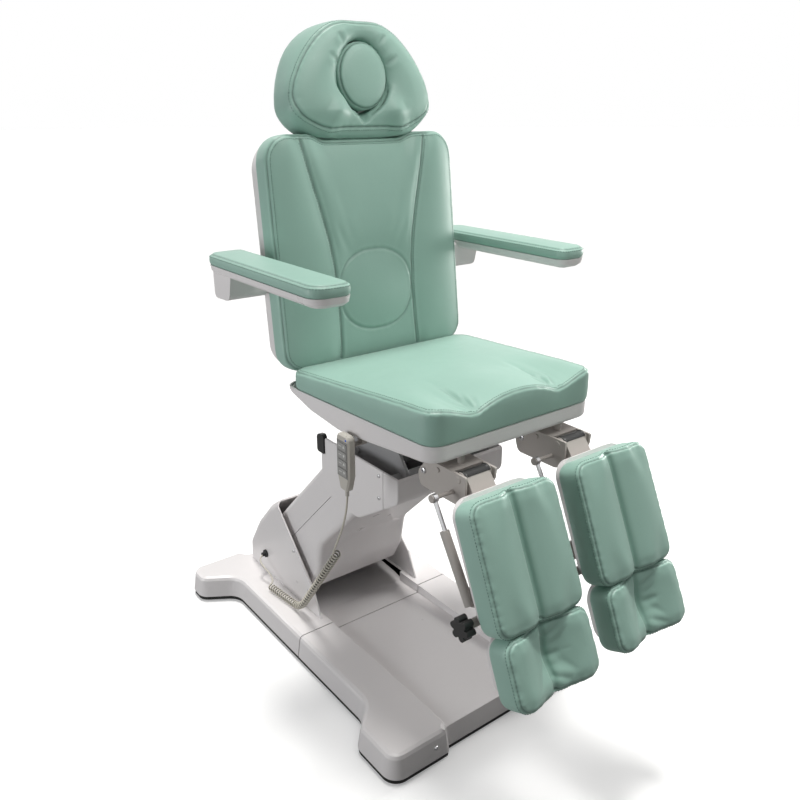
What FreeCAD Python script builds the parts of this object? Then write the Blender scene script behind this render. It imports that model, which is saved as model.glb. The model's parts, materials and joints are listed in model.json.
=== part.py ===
import FreeCAD, Part
import math
import os

os.makedirs("parts", exist_ok=True)

# Facial bed in its chair position. Millimetres, +Z up, the front faces -Y.
# Heights are above the floor. Depths are measured back from the front edge of the seat
# and the whole bed is moved at the end so that its middle stands over the origin.

# Fits
SOFT_GAP = 0.3
PIN_GAP = 0.05
SLIDE_GAP = 0.5
SEAM_GAP = 1.5

# Base
PAD_HEIGHT = 6.0
PAD_RADIUS = 24.0
PLATE_THICK = 12.0
PLATE_INSET = 2.0
RAIL_HALF = 289.0
RAIL_INNER = 165.0
RAIL_TOP = 85.0
RAIL_DRAFT = 8.0
COVER_WALL = 4.0
DECK_ROUND = 12.0
BASE_FRONT = 8.0
PANEL_FRONT = 25.0
FRONT_FOOT_HALF = 352.0
FRONT_FOOT_BACK = 160.0
REAR_FOOT_HALF = 392.0
REAR_FOOT_FRONT = 1020.0
FOOT_FLARE = 65.0
BASE_REAR = 1110.0
REAR_NOTCH = 30.0
BASE_SEAM = 562.0
FLOOR_FRONT_Z = 74.0
FLOOR_REAR_Z = 54.0
WELL_FRONT = 660.0
WELL_HALF = 176.0
HUMP_HALF = 186.0
HUMP_WALL = 5.0
HUMP_ROUND = 24.0
RIM_REACH = 69.0
ROOF_REACH = 108.0
GLAND_Y = 935.0
GLAND_Z = 153.0
GLAND_RADIUS = 9.0

# Lift
LIFT_Y = 815.0
LIFT_Z = 250.0
ARM_LENGTH = 540.0
ARM_ANGLE = 45.0
LINK_DY = 30.0
LINK_DZ = 50.0
ARM_HALF_WIDTH = 165.0
ARM_HALF_DEEP = 88.0
ARM_WALL = 4.0
ARM_ROUND = 18.0
ARM_BULGE = 172.0
BEAM_X = 95.0
BEAM_THICK = 10.0
BEAM_HALF = 30.0
LINK_X = 75.0
LINK_THICK = 10.0
LINK_HALF = 15.0
CHEEK_X = 118.0
CHEEK_THICK = 8.0
MAIN_PIN = 12.0
LINK_PIN = 10.0
LIFT_PIN = 9.0
JACK_AHEAD = 45.0
JACK_DROP = 95.0
JACK_ON_ARM = 330.0
JACK_ROD = 10.0
JACK_BORE = 14.8
JACK_TUBE = 22.0
JACK_TUBE_LONG = 250.0
MOTOR_RADIUS = 26.0
MOTOR_LONG = 92.0

# Seat
SEAT_FRONT_HALF = 250.0
SEAT_REAR_HALF = 284.0
SEAT_DEEP = 516.0
SEAT_BOTTOM = 880.0
SEAT_FRONT_TOP = 962.0
SEAT_REAR_TOP = 928.0
SEAT_CORNER = 42.0
SEAT_CROWN = 7.0
PIVOT_Y = 433.16
PIVOT_Z = 631.84
THIGH_X = 130.0
THIGH_DEPTH = 22.0
PAN_PROUD = 4.0
PAN_WALL = 4.0
PAN_FRONT_Z = 840.0
PAN_LOW_Z = 817.0
PAN_LOW_Y = 320.0
PAN_REAR_Y = 560.0
PAN_OPEN_HALF = 135.0
RAIL_X = 140.0
RAIL_WIDE = 30.0
RAIL_TALL = 26.0
RAIL_FRONT = 12.0
RAIL_REAR = 452.0
COVER_HALF = 178.0
COVER_SIDE = 6.0
COVER_FRONT = 217.0
COVER_REAR = 572.0
COVER_TOP = 700.0
COVER_SEAM = 278.0
COVER_DROP = 112.0
TIE_Y = 278.0
TIE_Z = 668.0
TIE_RADIUS = 14.0

# Backrest
HINGE_Y = 575.0
HINGE_Z = 885.0
BACK_LEAN = 6.5
HINGE_PIN = 9.0
BACK_LOW = 27.0
BACK_HIGH = 600.0
BACK_LOW_HALF = 285.0
BACK_TOP_HALF = 280.0
BACK_CORNER = 78.0
BACK_DEEP = 58.0
BACK_CROWN = 9.0
SHELL_DEEP = 47.0
SHELL_BACK = 55.0
SHELL_PROUD = 4.0
SHELL_WALL = 4.0
NECK_DIP = 24.0
NECK_HALF = 150.0
LEVER_ARM = 50.0
LEVER_ANGLE = -50.0
PUSH_ROD = 8.0
PUSH_BORE = 14.4
PUSH_TUBE = 19.0
PUSH_START = 300.0
PUSH_LONG = 200.0
UPRIGHT_X = 104.0
UPRIGHT_THICK = 10.0

# Headrest
HEAD_LOW = 592.0
HEAD_TALL = 276.0
HEAD_HALF = 211.0
HEAD_TOP_HALF = 172.0
HEAD_SHOULDER = 120.0
HEAD_DEEP = 104.0
HEAD_BACK = -32.0
HEAD_TOP_ROUND = 165.0
HEAD_SIDE_ROUND = 200.0
HEAD_LOW_ROUND = 78.0
PLUG_HALF = 59.0
PLUG_TALL = 168.0
PLUG_MID = 742.0
HEAD_HINGE_E = 664.0
HEAD_HINGE_N = -62.0
BAR_HALF = 28.0
BAR_THICK = 6.0
BAR_LONG = 250.0

# Armrests
ARMREST_E = 256.0
ARMREST_N = -41.0
ARMREST_PIN = 10.0
ARMREST_CLEAR = 34.0
ARMREST_WIDE = 99.0
ARMREST_FRONT = 177.0
ARMREST_REAR = 688.0
ARMREST_TOP = 1216.0
PAD_THICK = 29.0
ARMREST_SHELL = 22.0

# Legs
LEG_X = 155.5
LEG_Y = -28.0
LEG_Z = 806.0
LEG_LEAN = 24.0
LEG_HALF = 112.0
LEG_SHELL_TOP = 30.0
LEG_SHELL_END = 318.0
LEG_SHELL_IN = 24.0
LEG_SHELL_OUT = 52.0
CALF_TOP = 52.0
CALF_END = 314.0
CALF_DEEP = 66.0
TROUGH_DEPTH = 26.0
FOOT_TOP = 323.0
FOOT_END = 462.0
LEG_PIN = 8.0
BRACKET_HALF = 46.0
BRACKET_THICK = 6.0
TUBE_HALF = 34.0
TUBE_IN = -4.0
TUBE_OUT = 24.0
TUBE_WALL = 3.0
STRUT_X = -98.0
STRUT_ROD = 5.0
STRUT_BORE = 8.5
STRUT_TUBE = 11.0
KNOB_E = 291.0
KNOB_N = 12.0
KNOB_RADIUS = 27.0
KNOB_DEEP = 26.0

# Handset and its cord
SET_Y = 270.0
SET_WIDE = 52.0
SET_LOW = 690.0
SET_TALL = 146.0
SET_IN = 279.0
SET_THICK = 22.0
KEY_WIDE = 36.0
KEY_TALL = 17.0
KEY_PITCH = 22.0
KEY_LOW = 42.0
SET_NARROW = 28.0
SET_TAPER = 40.0
KEY_PROUD = 1.6
CORD_RADIUS = 2.5
COIL_RADIUS = 9.0
COIL_PITCH = 10.5


def vec(x, y, z):
    return FreeCAD.Vector(x, y, z)


def unit(a, b):
    dx = b[0] - a[0]
    dy = b[1] - a[1]
    size = math.hypot(dx, dy)
    return (dx / size, dy / size)


def outline(points, radii, spot):
    # A closed outline with tangent arcs at its corners.
    edges = []
    count = len(points)
    starts = []
    ends = []
    middles = []
    for i in range(count):
        corner = points[i]
        before = unit(corner, points[i - 1])
        after = unit(corner, points[(i + 1) % count])
        half = 0.5 * math.acos(max(-1.0, min(1.0, before[0] * after[0] + before[1] * after[1])))
        reach = radii[i] / math.tan(half)
        starts.append((corner[0] + before[0] * reach, corner[1] + before[1] * reach))
        ends.append((corner[0] + after[0] * reach, corner[1] + after[1] * reach))
        way = (before[0] + after[0], before[1] + after[1])
        size = math.hypot(way[0], way[1])
        depth = (radii[i] / math.sin(half) - radii[i]) / size
        middles.append((corner[0] + way[0] * depth, corner[1] + way[1] * depth))
    for i in range(count):
        if radii[i] > 0:
            arc = Part.Arc(spot(*starts[i]), spot(*middles[i]), spot(*ends[i]))
            edges.append(arc.toShape())
        follow = starts[(i + 1) % count]
        if math.hypot(follow[0] - ends[i][0], follow[1] - ends[i][1]) > 1e-6:
            edges.append(Part.makeLine(spot(*ends[i]), spot(*follow)))
    return Part.Wire(edges)


def inset(points, amount):
    # The same polygon with every side moved inwards (points run counter-clockwise).
    moved = []
    count = len(points)
    for i in range(count):
        a = unit(points[i - 1], points[i])
        b = unit(points[i], points[(i + 1) % count])
        turn = a[0] * b[1] - a[1] * b[0]
        corner = points[i]
        if abs(turn) < 1e-9:
            moved.append((corner[0] - a[1] * amount, corner[1] + a[0] * amount))
        else:
            moved.append((corner[0] + (b[0] - a[0]) * amount / turn,
                          corner[1] + (b[1] - a[1]) * amount / turn))
    return moved


def turned(points, radii, amount):
    # Corner radii that suit the inset polygon: outer corners shrink, inner corners grow.
    made = []
    count = len(points)
    for i in range(count):
        a = unit(points[i - 1], points[i])
        b = unit(points[i], points[(i + 1) % count])
        sign = 1.0 if a[0] * b[1] - a[1] * b[0] > 0 else -1.0
        made.append(max(1.0, radii[i] - sign * amount))
    return made


def both_sides(half):
    return half + [(-x, y) for x, y in reversed(half)]


def prism_x(points, radii, x0, x1):
    wire = outline(points, radii, lambda y, z: vec(x0, y, z))
    return Part.Face(wire).extrude(vec(x1 - x0, 0, 0))


def prism_z(points, radii, z0, z1):
    wire = outline(points, radii, lambda x, y: vec(x, y, z0))
    return Part.Face(wire).extrude(vec(0, 0, z1 - z0))


def prism_y(points, radii, y0, y1):
    wire = outline(points, radii, lambda x, z: vec(x, y0, z))
    return Part.Face(wire).extrude(vec(0, y1 - y0, 0))


def box(x0, x1, y0, y1, z0, z1):
    return Part.makeBox(x1 - x0, y1 - y0, z1 - z0, vec(x0, y0, z0))


def rod_x(radius, x0, x1, y, z):
    return Part.makeCylinder(radius, x1 - x0, vec(x0, y, z), vec(1, 0, 0))


def rod_z(radius, z0, z1, x, y):
    return Part.makeCylinder(radius, z1 - z0, vec(x, y, z0), vec(0, 0, 1))


def rod_y(radius, y0, y1, x, z):
    return Part.makeCylinder(radius, y1 - y0, vec(x, y0, z), vec(0, 1, 0))


def joined(shapes):
    whole = shapes[0]
    if len(shapes) > 1:
        whole = shapes[0].multiFuse(shapes[1:])
    return whole.removeSplitter()


def group(shapes):
    return Part.makeCompound(shapes)


def mirrored(shape):
    return shape.mirror(vec(0, 0, 0), vec(1, 0, 0))


def placed(shape, y, z, angle):
    made = shape.copy()
    made.rotate(vec(0, 0, 0), vec(1, 0, 0), angle)
    made.translate(vec(0, y, z))
    return made


def moved(shape, x, y, z):
    made = shape.copy()
    made.translate(vec(x, y, z))
    return made


def rounded(shape, radius, test):
    return shape.makeFillet(radius, [edge for edge in shape.Edges if test(edge.BoundBox)])


def skin(levels, points, radii, spot):
    # A padded block: the outline drawn in or let out at each height.
    rings = []
    for draw_in, height in levels:
        ring_points = inset(points, draw_in)
        ring_radii = turned(points, radii, draw_in)
        rings.append(outline(ring_points, ring_radii, lambda a, b, h=height: spot(a, b, h)))
    return Part.makeLoft(rings, True, True)


nodes = {}

# Base plate and pads

plate_low = PAD_HEIGHT
plate_top = PAD_HEIGHT + PLATE_THICK
base_half = [
    (RAIL_INNER, PANEL_FRONT),
    (RAIL_INNER, BASE_FRONT),
    (FRONT_FOOT_HALF, BASE_FRONT),
    (FRONT_FOOT_HALF, FRONT_FOOT_BACK),
    (RAIL_HALF, FRONT_FOOT_BACK + FOOT_FLARE),
    (RAIL_HALF, REAR_FOOT_FRONT - FOOT_FLARE),
    (REAR_FOOT_HALF, REAR_FOOT_FRONT),
    (REAR_FOOT_HALF, BASE_REAR),
    (RAIL_INNER + 40, BASE_REAR),
    (RAIL_INNER + 20, BASE_REAR - REAR_NOTCH),
]
base_points = both_sides(base_half)
half_radii = [5, 14, 42, 40, 60, 60, 40, 42, 14, 14]
base_radii = half_radii + list(reversed(half_radii))
plate_points = inset(base_points, PLATE_INSET)
plate_radii = turned(base_points, base_radii, PLATE_INSET)
nodes["base_plate"] = prism_z(plate_points, plate_radii, plate_low, plate_top)

pad_spots = [
    (FRONT_FOOT_HALF - 60, BASE_FRONT + 60),
    (RAIL_HALF - 45, BASE_SEAM),
    (REAR_FOOT_HALF - 60, BASE_REAR - 55),
]
pads = []
for x, y in pad_spots:
    pads.append(rod_z(PAD_RADIUS, 0, plate_low, x, y))
    pads.append(rod_z(PAD_RADIUS, 0, plate_low, -x, y))
nodes["floor_pads"] = group(pads)

# Base covers with the hump over the lift pivot

lean = math.radians(ARM_ANGLE)
arm_u = (-math.cos(lean), math.sin(lean))
arm_a = (math.sin(lean), math.cos(lean))
jack_y = LIFT_Y - JACK_AHEAD
jack_z = LIFT_Z - JACK_DROP


def on_arm(a, u):
    return (LIFT_Y + arm_a[0] * a + arm_u[0] * u, LIFT_Z + arm_a[1] * a + arm_u[1] * u)


def deck_spot(x, y, z):
    return vec(x, y, z)


def base_block(extra, top):
    levels = [
        (extra, plate_top),
        (extra + RAIL_DRAFT, top - DECK_ROUND),
        (extra + RAIL_DRAFT + 0.3 * DECK_ROUND, top - 0.3 * DECK_ROUND),
        (extra + RAIL_DRAFT + DECK_ROUND, top),
    ]
    return skin(levels, base_points, base_radii, deck_spot)


def floor_wedge(drop, half, back):
    front = PANEL_FRONT - 60
    slope = (FLOOR_REAR_Z - FLOOR_FRONT_Z) / (WELL_FRONT - PANEL_FRONT)
    far = WELL_FRONT + back
    near_z = FLOOR_FRONT_Z + slope * (front - PANEL_FRONT) - drop
    far_z = FLOOR_FRONT_Z + slope * (far - PANEL_FRONT) - drop
    top = RAIL_TOP + 60
    return prism_x([(front, near_z), (far, far_z), (far, top), (front, top)], [0, 0, 0, 0], -half, half)


deck = base_block(0, RAIL_TOP).cut(floor_wedge(0, RAIL_INNER, 0))
hollow = base_block(COVER_WALL, RAIL_TOP - COVER_WALL)
hollow = hollow.cut(floor_wedge(COVER_WALL, RAIL_INNER + COVER_WALL, COVER_WALL))
deck = deck.cut(hollow)

rim_low = on_arm(-181, RIM_REACH)
rim_high = on_arm(ROOF_REACH, RIM_REACH)
hump_foot = RAIL_TOP - 0.5 * COVER_WALL
hump_line = [
    (LIFT_Y - 220, hump_foot),
    (LIFT_Y + 245, hump_foot),
    (LIFT_Y + 240, LIFT_Z - 97),
    (LIFT_Y + 173, LIFT_Z + 3),
    (LIFT_Y + 85, LIFT_Z + 96),
    rim_high,
    rim_low,
]
hump_long = hump_line[:5] + [on_arm(ROOF_REACH, RIM_REACH + 60), on_arm(-181, RIM_REACH + 60), rim_low]
hump = prism_x(hump_long, [0, 0, 40, 120, 120, 0, 0, 0], -HUMP_HALF, HUMP_HALF)


def hump_edge(b):
    side = abs(abs(b.XMin) - HUMP_HALF) < 0.01 and b.XLength < 0.01
    return side and b.ZMax > hump_foot + 1 and b.YMax > rim_high[0] + 12


hump = rounded(hump, HUMP_ROUND, hump_edge)
mouth_line = [on_arm(-400, RIM_REACH), on_arm(300, RIM_REACH), on_arm(300, 300), on_arm(-400, 300)]
hump = hump.cut(prism_x(mouth_line, [0, 0, 0, 0], -300, 300))
room_line = inset(hump_line, HUMP_WALL)
room_front = on_arm(-400, RIM_REACH + 60)
room_line[5] = on_arm(ROOF_REACH - HUMP_WALL, RIM_REACH + 60)
room_line[6] = room_front
room_line[0] = (room_front[0], hump_foot - 40)
room_line[1] = (room_line[1][0], hump_foot - 40)
room = prism_x(room_line, [0, 0, 35, 115, 115, 0, 0], -HUMP_HALF + HUMP_WALL, HUMP_HALF - HUMP_WALL)


def room_edge(b):
    return abs(abs(b.XMin) - HUMP_HALF + HUMP_WALL) < 0.01 and b.XLength < 0.01 and b.YMin > rim_high[0]


room = rounded(room, HUMP_ROUND - HUMP_WALL, room_edge)
well = box(-WELL_HALF, WELL_HALF, WELL_FRONT, LIFT_Y + 180, 0, RAIL_TOP + 20)
covers = deck.fuse(hump.cut(room)).cut(well)
covers = covers.cut(rod_x(GLAND_RADIUS, -HUMP_HALF - 5, -HUMP_HALF + 40, GLAND_Y, GLAND_Z))
front_half = box(-600, 600, -100, BASE_SEAM - SEAM_GAP, 0, 600)
rear_half = box(-600, 600, BASE_SEAM + SEAM_GAP, 1400, 0, 600)
nodes["front_base_cover"] = covers.common(front_half)
nodes["rear_base_cover"] = covers.common(rear_half)

gland = rod_x(GLAND_RADIUS, -HUMP_HALF, -HUMP_HALF + HUMP_WALL, GLAND_Y, GLAND_Z)
gland = gland.fuse(rod_x(GLAND_RADIUS + 4, -HUMP_HALF - 6, -HUMP_HALF, GLAND_Y, GLAND_Z))
gland = gland.fuse(rod_x(GLAND_RADIUS - 2, -HUMP_HALF - 16, -HUMP_HALF - 6, GLAND_Y, GLAND_Z))
gland_bore = rod_x(CORD_RADIUS + SOFT_GAP, -HUMP_HALF - 20, -HUMP_HALF + 8, GLAND_Y, GLAND_Z)
nodes["cord_gland"] = gland.cut(gland_bore)

# Lift bracket on the base plate

link_y = LIFT_Y + LINK_DY
link_z = LIFT_Z + LINK_DZ
cheek_out = CHEEK_X + CHEEK_THICK
foot_y = LIFT_Y - 3
tower_line = [
    (foot_y, plate_top),
    (foot_y + 165, plate_top),
    (foot_y + 165, plate_top + 40),
    (link_y + 20, link_z - 8),
    (link_y + 8, link_z + 19),
    (link_y - 18, link_z + 17),
    (LIFT_Y - 34, LIFT_Z + 8),
    (jack_y - 24, jack_z + 10),
    (jack_y - 18, jack_z - 20),
    (foot_y, jack_z - 40),
]
tower_radii = [0, 0, 8, 12, 12, 14, 24, 16, 14, 20]
tower = []
for side in (-1, 1):
    x0 = min(side * CHEEK_X, side * cheek_out)
    tower.append(prism_x(tower_line, tower_radii, x0, x0 + CHEEK_THICK))
tower.append(box(-cheek_out, cheek_out, foot_y + 40, foot_y + 165, plate_top, plate_top + 10))
tower.append(rod_x(MAIN_PIN, -cheek_out - 4, cheek_out + 4, LIFT_Y, LIFT_Z))
tower.append(rod_x(LINK_PIN, -cheek_out - 4, cheek_out + 4, link_y, link_z))
tower.append(rod_x(LIFT_PIN, -cheek_out - 4, cheek_out + 4, jack_y, jack_z))
nodes["lift_bracket"] = joined(tower)

# Lift arm, drawn along Z with its pivot at the origin

shell_top_u = ARM_LENGTH - 65
beams = []
for side in (-1, 1):
    x0 = min(side * BEAM_X, side * (BEAM_X + BEAM_THICK))
    bar = prism_x([(-BEAM_HALF, -34), (BEAM_HALF, -34), (BEAM_HALF, ARM_LENGTH + 34),
                   (-BEAM_HALF, ARM_LENGTH + 34)], [28, 28, 28, 28], x0, x0 + BEAM_THICK)
    bar = bar.cut(rod_x(MAIN_PIN + PIN_GAP, x0 - 1, x0 + BEAM_THICK + 1, 0, 0))
    bar = bar.cut(rod_x(MAIN_PIN + PIN_GAP, x0 - 1, x0 + BEAM_THICK + 1, 0, ARM_LENGTH))
    beams.append(bar)
shell_in = ARM_HALF_WIDTH - ARM_WALL
high_tie = JACK_ON_ARM + 3 * (ARM_LENGTH - JACK_ON_ARM) / 7
tie_spots = [(20, 140), (20, high_tie), (-20, 105), (-20, high_tie + 10)]
for a, u in tie_spots:
    beams.append(rod_x(8, -shell_in, shell_in, a, u))
beams.append(rod_x(LIFT_PIN, -BEAM_X - 2, BEAM_X + 2, 0, JACK_ON_ARM))
arm_beam = joined(beams)
nodes["arm_beam"] = placed(arm_beam, LIFT_Y, LIFT_Z, ARM_ANGLE)

half_seam = 0.5 * SEAM_GAP
back_out = prism_x([(half_seam, -40), (ARM_HALF_DEEP, -40), (ARM_HALF_DEEP, shell_top_u),
                    (half_seam, shell_top_u)], [0, 40, 6, 0], -ARM_HALF_WIDTH, ARM_HALF_WIDTH)


def back_edge(b):
    return abs(b.XLength) < 0.01 and abs(b.YMin - ARM_HALF_DEEP) < 0.01 and b.ZLength > 100


back_out = rounded(back_out, ARM_ROUND, back_edge)
back_in = prism_x([(-20, -60), (ARM_HALF_DEEP - ARM_WALL, -60), (ARM_HALF_DEEP - ARM_WALL, shell_top_u + 20),
                   (-20, shell_top_u + 20)], [0, 0, 0, 0], -shell_in, shell_in)


def back_in_edge(b):
    return abs(b.XLength) < 0.01 and abs(b.YMin - ARM_HALF_DEEP + ARM_WALL) < 0.01


back_in = rounded(back_in, ARM_ROUND - ARM_WALL, back_in_edge)
nodes["arm_shell_upper"] = placed(back_out.cut(back_in), LIFT_Y, LIFT_Z, ARM_ANGLE)

front_top_u = ARM_LENGTH - 42
front_line = [
    (-half_seam, -40),
    (-half_seam, front_top_u),
    (-ARM_HALF_DEEP, front_top_u),
    (-ARM_HALF_DEEP, 185),
    (-ARM_BULGE + 24, 98),
    (-ARM_BULGE, 18),
]
front_out = prism_x(front_line, [0, 0, 6, 70, 90, 6], -ARM_HALF_WIDTH, ARM_HALF_WIDTH)


def front_edge(b):
    thin = abs(b.XLength) < 0.01 and abs(abs(b.XMin) - ARM_HALF_WIDTH) < 0.01
    return thin and b.YMax < -ARM_HALF_DEEP + 1 and b.ZMax > 40


front_out = rounded(front_out, ARM_ROUND, front_edge)
wall_line = [
    (20, -80),
    (20, front_top_u + 20),
    (-ARM_HALF_DEEP + ARM_WALL, front_top_u + 20),
    (-ARM_HALF_DEEP + ARM_WALL, 186),
    (-ARM_BULGE + 24 + ARM_WALL, 99),
    (-ARM_BULGE + ARM_WALL, 18),
    (-ARM_BULGE + ARM_WALL, -80),
]
front_in = prism_x(wall_line, [0, 0, 0, 74, 86, 0, 0], -shell_in, shell_in)


def front_in_edge(b):
    thin = abs(b.XLength) < 0.01 and abs(abs(b.XMin) - shell_in) < 0.01
    return thin and b.YMax < -ARM_HALF_DEEP + ARM_WALL + 1


front_in = rounded(front_in, ARM_ROUND - ARM_WALL, front_in_edge)
nodes["arm_shell_lower"] = placed(front_out.cut(front_in), LIFT_Y, LIFT_Z, ARM_ANGLE)

# Parallel link

links = []
for side in (-1, 1):
    x0 = min(side * LINK_X, side * (LINK_X + LINK_THICK))
    bar = prism_x([(-LINK_HALF, -17), (LINK_HALF, -17), (LINK_HALF, ARM_LENGTH + 17),
                   (-LINK_HALF, ARM_LENGTH + 17)], [14, 14, 14, 14], x0, x0 + LINK_THICK)
    bar = bar.cut(rod_x(LINK_PIN + PIN_GAP, x0 - 1, x0 + LINK_THICK + 1, 0, 0))
    bar = bar.cut(rod_x(LINK_PIN + PIN_GAP, x0 - 1, x0 + LINK_THICK + 1, 0, ARM_LENGTH))
    links.append(bar)
links.append(rod_x(8, -LINK_X - 2, LINK_X + 2, 0, 0.5 * ARM_LENGTH))
nodes["parallel_link"] = placed(joined(links), link_y, link_z, ARM_ANGLE)

# Lift actuator: motor and tube on the base, rod on the arm, drawn along Z

jack_end = on_arm(0, JACK_ON_ARM)
jack_dy = jack_end[0] - jack_y
jack_dz = jack_end[1] - jack_z
jack_long = math.hypot(jack_dy, jack_dz)
jack_angle = math.degrees(math.atan2(-jack_dy, jack_dz))
jack_tube = rod_z(JACK_TUBE, 18, JACK_TUBE_LONG, 0, 0)
jack_eye = rod_x(LIFT_PIN + 9, -20, 20, 0, 0)
jack_motor = joined([
    jack_eye,
    box(-16, 16, -LIFT_PIN - 8, LIFT_PIN + 8, 0, 30),
    jack_tube,
    rod_x(MOTOR_RADIUS, 0, MOTOR_LONG - 20, 0, 44),
])
jack_motor = jack_motor.cut(rod_x(LIFT_PIN + PIN_GAP, -30, 30, 0, 0))
jack_motor = jack_motor.cut(rod_z(JACK_BORE, 74, JACK_TUBE_LONG + 1, 0, 0))
nodes["lift_actuator_motor"] = placed(jack_motor, jack_y, jack_z, jack_angle)
jack_rod = joined([
    rod_z(JACK_ROD, 180, jack_long - 6, 0, 0),
    rod_x(LIFT_PIN + 8, -14, 14, 0, jack_long),
])
jack_rod = jack_rod.cut(rod_x(LIFT_PIN + PIN_GAP, -20, 20, 0, jack_long))
nodes["lift_actuator_rod"] = placed(jack_rod, jack_y, jack_z, jack_angle)

# Seat support: side plates, rails and shafts, drawn with the seat's pivot at its own place

below_seat = list(nodes)
top_y = PIVOT_Y
top_z = PIVOT_Z
rail_top = SEAT_BOTTOM
rail_low = rail_top - RAIL_TALL
plate_line = [
    (top_y - 38, top_z - 12),
    (top_y, top_z - 42),
    (top_y + 42, top_z - 7),
    (top_y + 62, top_z + 70),
    (top_y + 66, HINGE_Z - 85),
    (HINGE_Y + 19, HINGE_Z - 17),
    (HINGE_Y + 17, HINGE_Z + 15),
    (HINGE_Y - 16, HINGE_Z + 15),
    (HINGE_Y - 30, rail_top),
    (230, rail_top),
    (230, rail_low),
    (330, HINGE_Z - 85),
    (TIE_Y - 30, TIE_Z + 24),
    (TIE_Y - 26, TIE_Z - 24),
    (TIE_Y + 24, TIE_Z - 24),
]
plate_radii = [20, 26, 20, 20, 40, 12, 12, 12, 8, 3, 3, 30, 14, 14, 20]
support = []
for side in (-1, 1):
    x0 = min(side * CHEEK_X, side * cheek_out)
    support.append(prism_x(plate_line, plate_radii, x0, x0 + CHEEK_THICK))
    x0 = min(side * RAIL_X, side * (RAIL_X + RAIL_WIDE))
    support.append(box(x0, x0 + RAIL_WIDE, RAIL_FRONT, RAIL_REAR, rail_low, rail_top))
    x0 = min(side * CHEEK_X, side * (RAIL_X + 5))
    support.append(box(x0, x0 + RAIL_X + 5 - CHEEK_X, 360, 400, rail_low, rail_top))
support.append(box(-RAIL_X - 5, RAIL_X + 5, 90, 120, rail_low, rail_top))
support.append(rod_x(MAIN_PIN, -cheek_out - 4, cheek_out + 4, top_y, top_z))
support.append(rod_x(LINK_PIN, -cheek_out - 4, cheek_out + 4, top_y + LINK_DY, top_z + LINK_DZ))
support.append(rod_x(HINGE_PIN, -cheek_out - 3, cheek_out + 3, HINGE_Y, HINGE_Z))
cover_in = COVER_HALF - COVER_SIDE
support.append(rod_x(TIE_RADIUS, -cover_in, cover_in, TIE_Y, TIE_Z))
lever_low = LEVER_ARM
lever_high = LEVER_ARM * math.cos(math.radians(90 + LEVER_ANGLE))
push_z = HINGE_Z - 0.5 * (lever_low + lever_high)
support.append(box(-CHEEK_X - 1, CHEEK_X + 1, PUSH_START - 14, PUSH_START, push_z - 16, push_z + 16))
nodes["seat_support"] = joined(support)

# Covers round the top of the lift

cover_line = [
    (COVER_FRONT, TIE_Z - 35),
    (top_y - 40, top_z - COVER_DROP),
    (top_y + 86, top_z - COVER_DROP),
    (COVER_REAR, top_z - 70),
    (COVER_REAR, COVER_TOP - 48),
    (COVER_REAR - 20, COVER_TOP - 48),
    (COVER_REAR - 20, COVER_TOP),
    (COVER_FRONT, COVER_TOP),
]
cover_radii = [30, 50, 70, 50, 6, 2, 6, 10]
cover = prism_x(cover_line, cover_radii, -COVER_HALF, COVER_HALF)


def cover_rim(b):
    flat = b.XLength < 0.01 and abs(abs(b.XMin) - COVER_HALF) < 0.01
    return flat and b.ZMax < COVER_TOP - 50


cover = rounded(cover, 5, cover_rim)
cover_room = prism_x([
    (COVER_FRONT + COVER_SIDE, TIE_Z - 31),
    (top_y - 34, top_z - COVER_DROP + 7),
    (top_y - 34, top_z - COVER_DROP - 60),
    (COVER_REAR + 60, top_z - COVER_DROP - 60),
    (COVER_REAR + 60, COVER_TOP + 40),
    (COVER_FRONT + COVER_SIDE, COVER_TOP + 40),
], [24, 0, 0, 0, 0, 0], -cover_in, cover_in)
cover = cover.cut(cover_room)
cover_front_half = box(-300, 300, 0, COVER_SEAM - 0.5 * SEAM_GAP, 300, 900)
cover_rear_half = box(-300, 300, COVER_SEAM + 0.5 * SEAM_GAP, 900, 300, 900)
nodes["support_cover_front"] = cover.common(cover_front_half)
nodes["support_cover_rear"] = cover.common(cover_rear_half)

cap_low = COVER_TOP - 48
cap_line = [(COVER_REAR - 19.8, cap_low), (COVER_REAR + 14, cap_low), (COVER_REAR + 14, cap_low + 52),
            (COVER_REAR - 19.8, cap_low + 58)]
caps = []
for side in (-1, 1):
    x0 = min(side * (ARM_HALF_WIDTH + 3), side * (COVER_HALF + 3))
    caps.append(prism_x(cap_line, [2, 8, 14, 10], x0, x0 + COVER_HALF - ARM_HALF_WIDTH))
nodes["cover_end_caps"] = group(caps)

# Seat pan


def seat_half_at(y):
    return SEAT_FRONT_HALF + (SEAT_REAR_HALF - SEAT_FRONT_HALF) * y / SEAT_DEEP


def pan_plan(grow, rear):
    return [(-seat_half_at(0) - grow, -grow), (seat_half_at(0) + grow, -grow),
            (seat_half_at(rear) + grow, rear), (-seat_half_at(rear) - grow, rear)]


def pan_side(lift):
    return [
        (-60, PAN_FRONT_Z + 12 + lift),
        (0, PAN_FRONT_Z + lift),
        (PAN_LOW_Y, PAN_LOW_Z + lift),
        (PAN_REAR_Y - 115, PAN_LOW_Z + 19 + lift),
        (PAN_REAR_Y + 10, SEAT_BOTTOM - 4 + lift),
        (PAN_REAR_Y + 10, SEAT_BOTTOM + 40),
        (-60, SEAT_BOTTOM + 40),
    ]


pan_corner = SEAT_CORNER + PAN_PROUD
pan_radii = [pan_corner, pan_corner, 40, 40]
pan_block = prism_z(pan_plan(PAN_PROUD, PAN_REAR_Y), pan_radii, PAN_LOW_Z - 20, SEAT_BOTTOM)
pan = pan_block.common(prism_x(pan_side(0), [0, 60, 200, 80, 0, 0, 0], -400, 400))


def pan_edge(b):
    return b.ZMax < SEAT_BOTTOM - 0.5 and b.ZMin < SEAT_BOTTOM - 20 and b.XLength < 260 and b.YLength > 4


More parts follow.
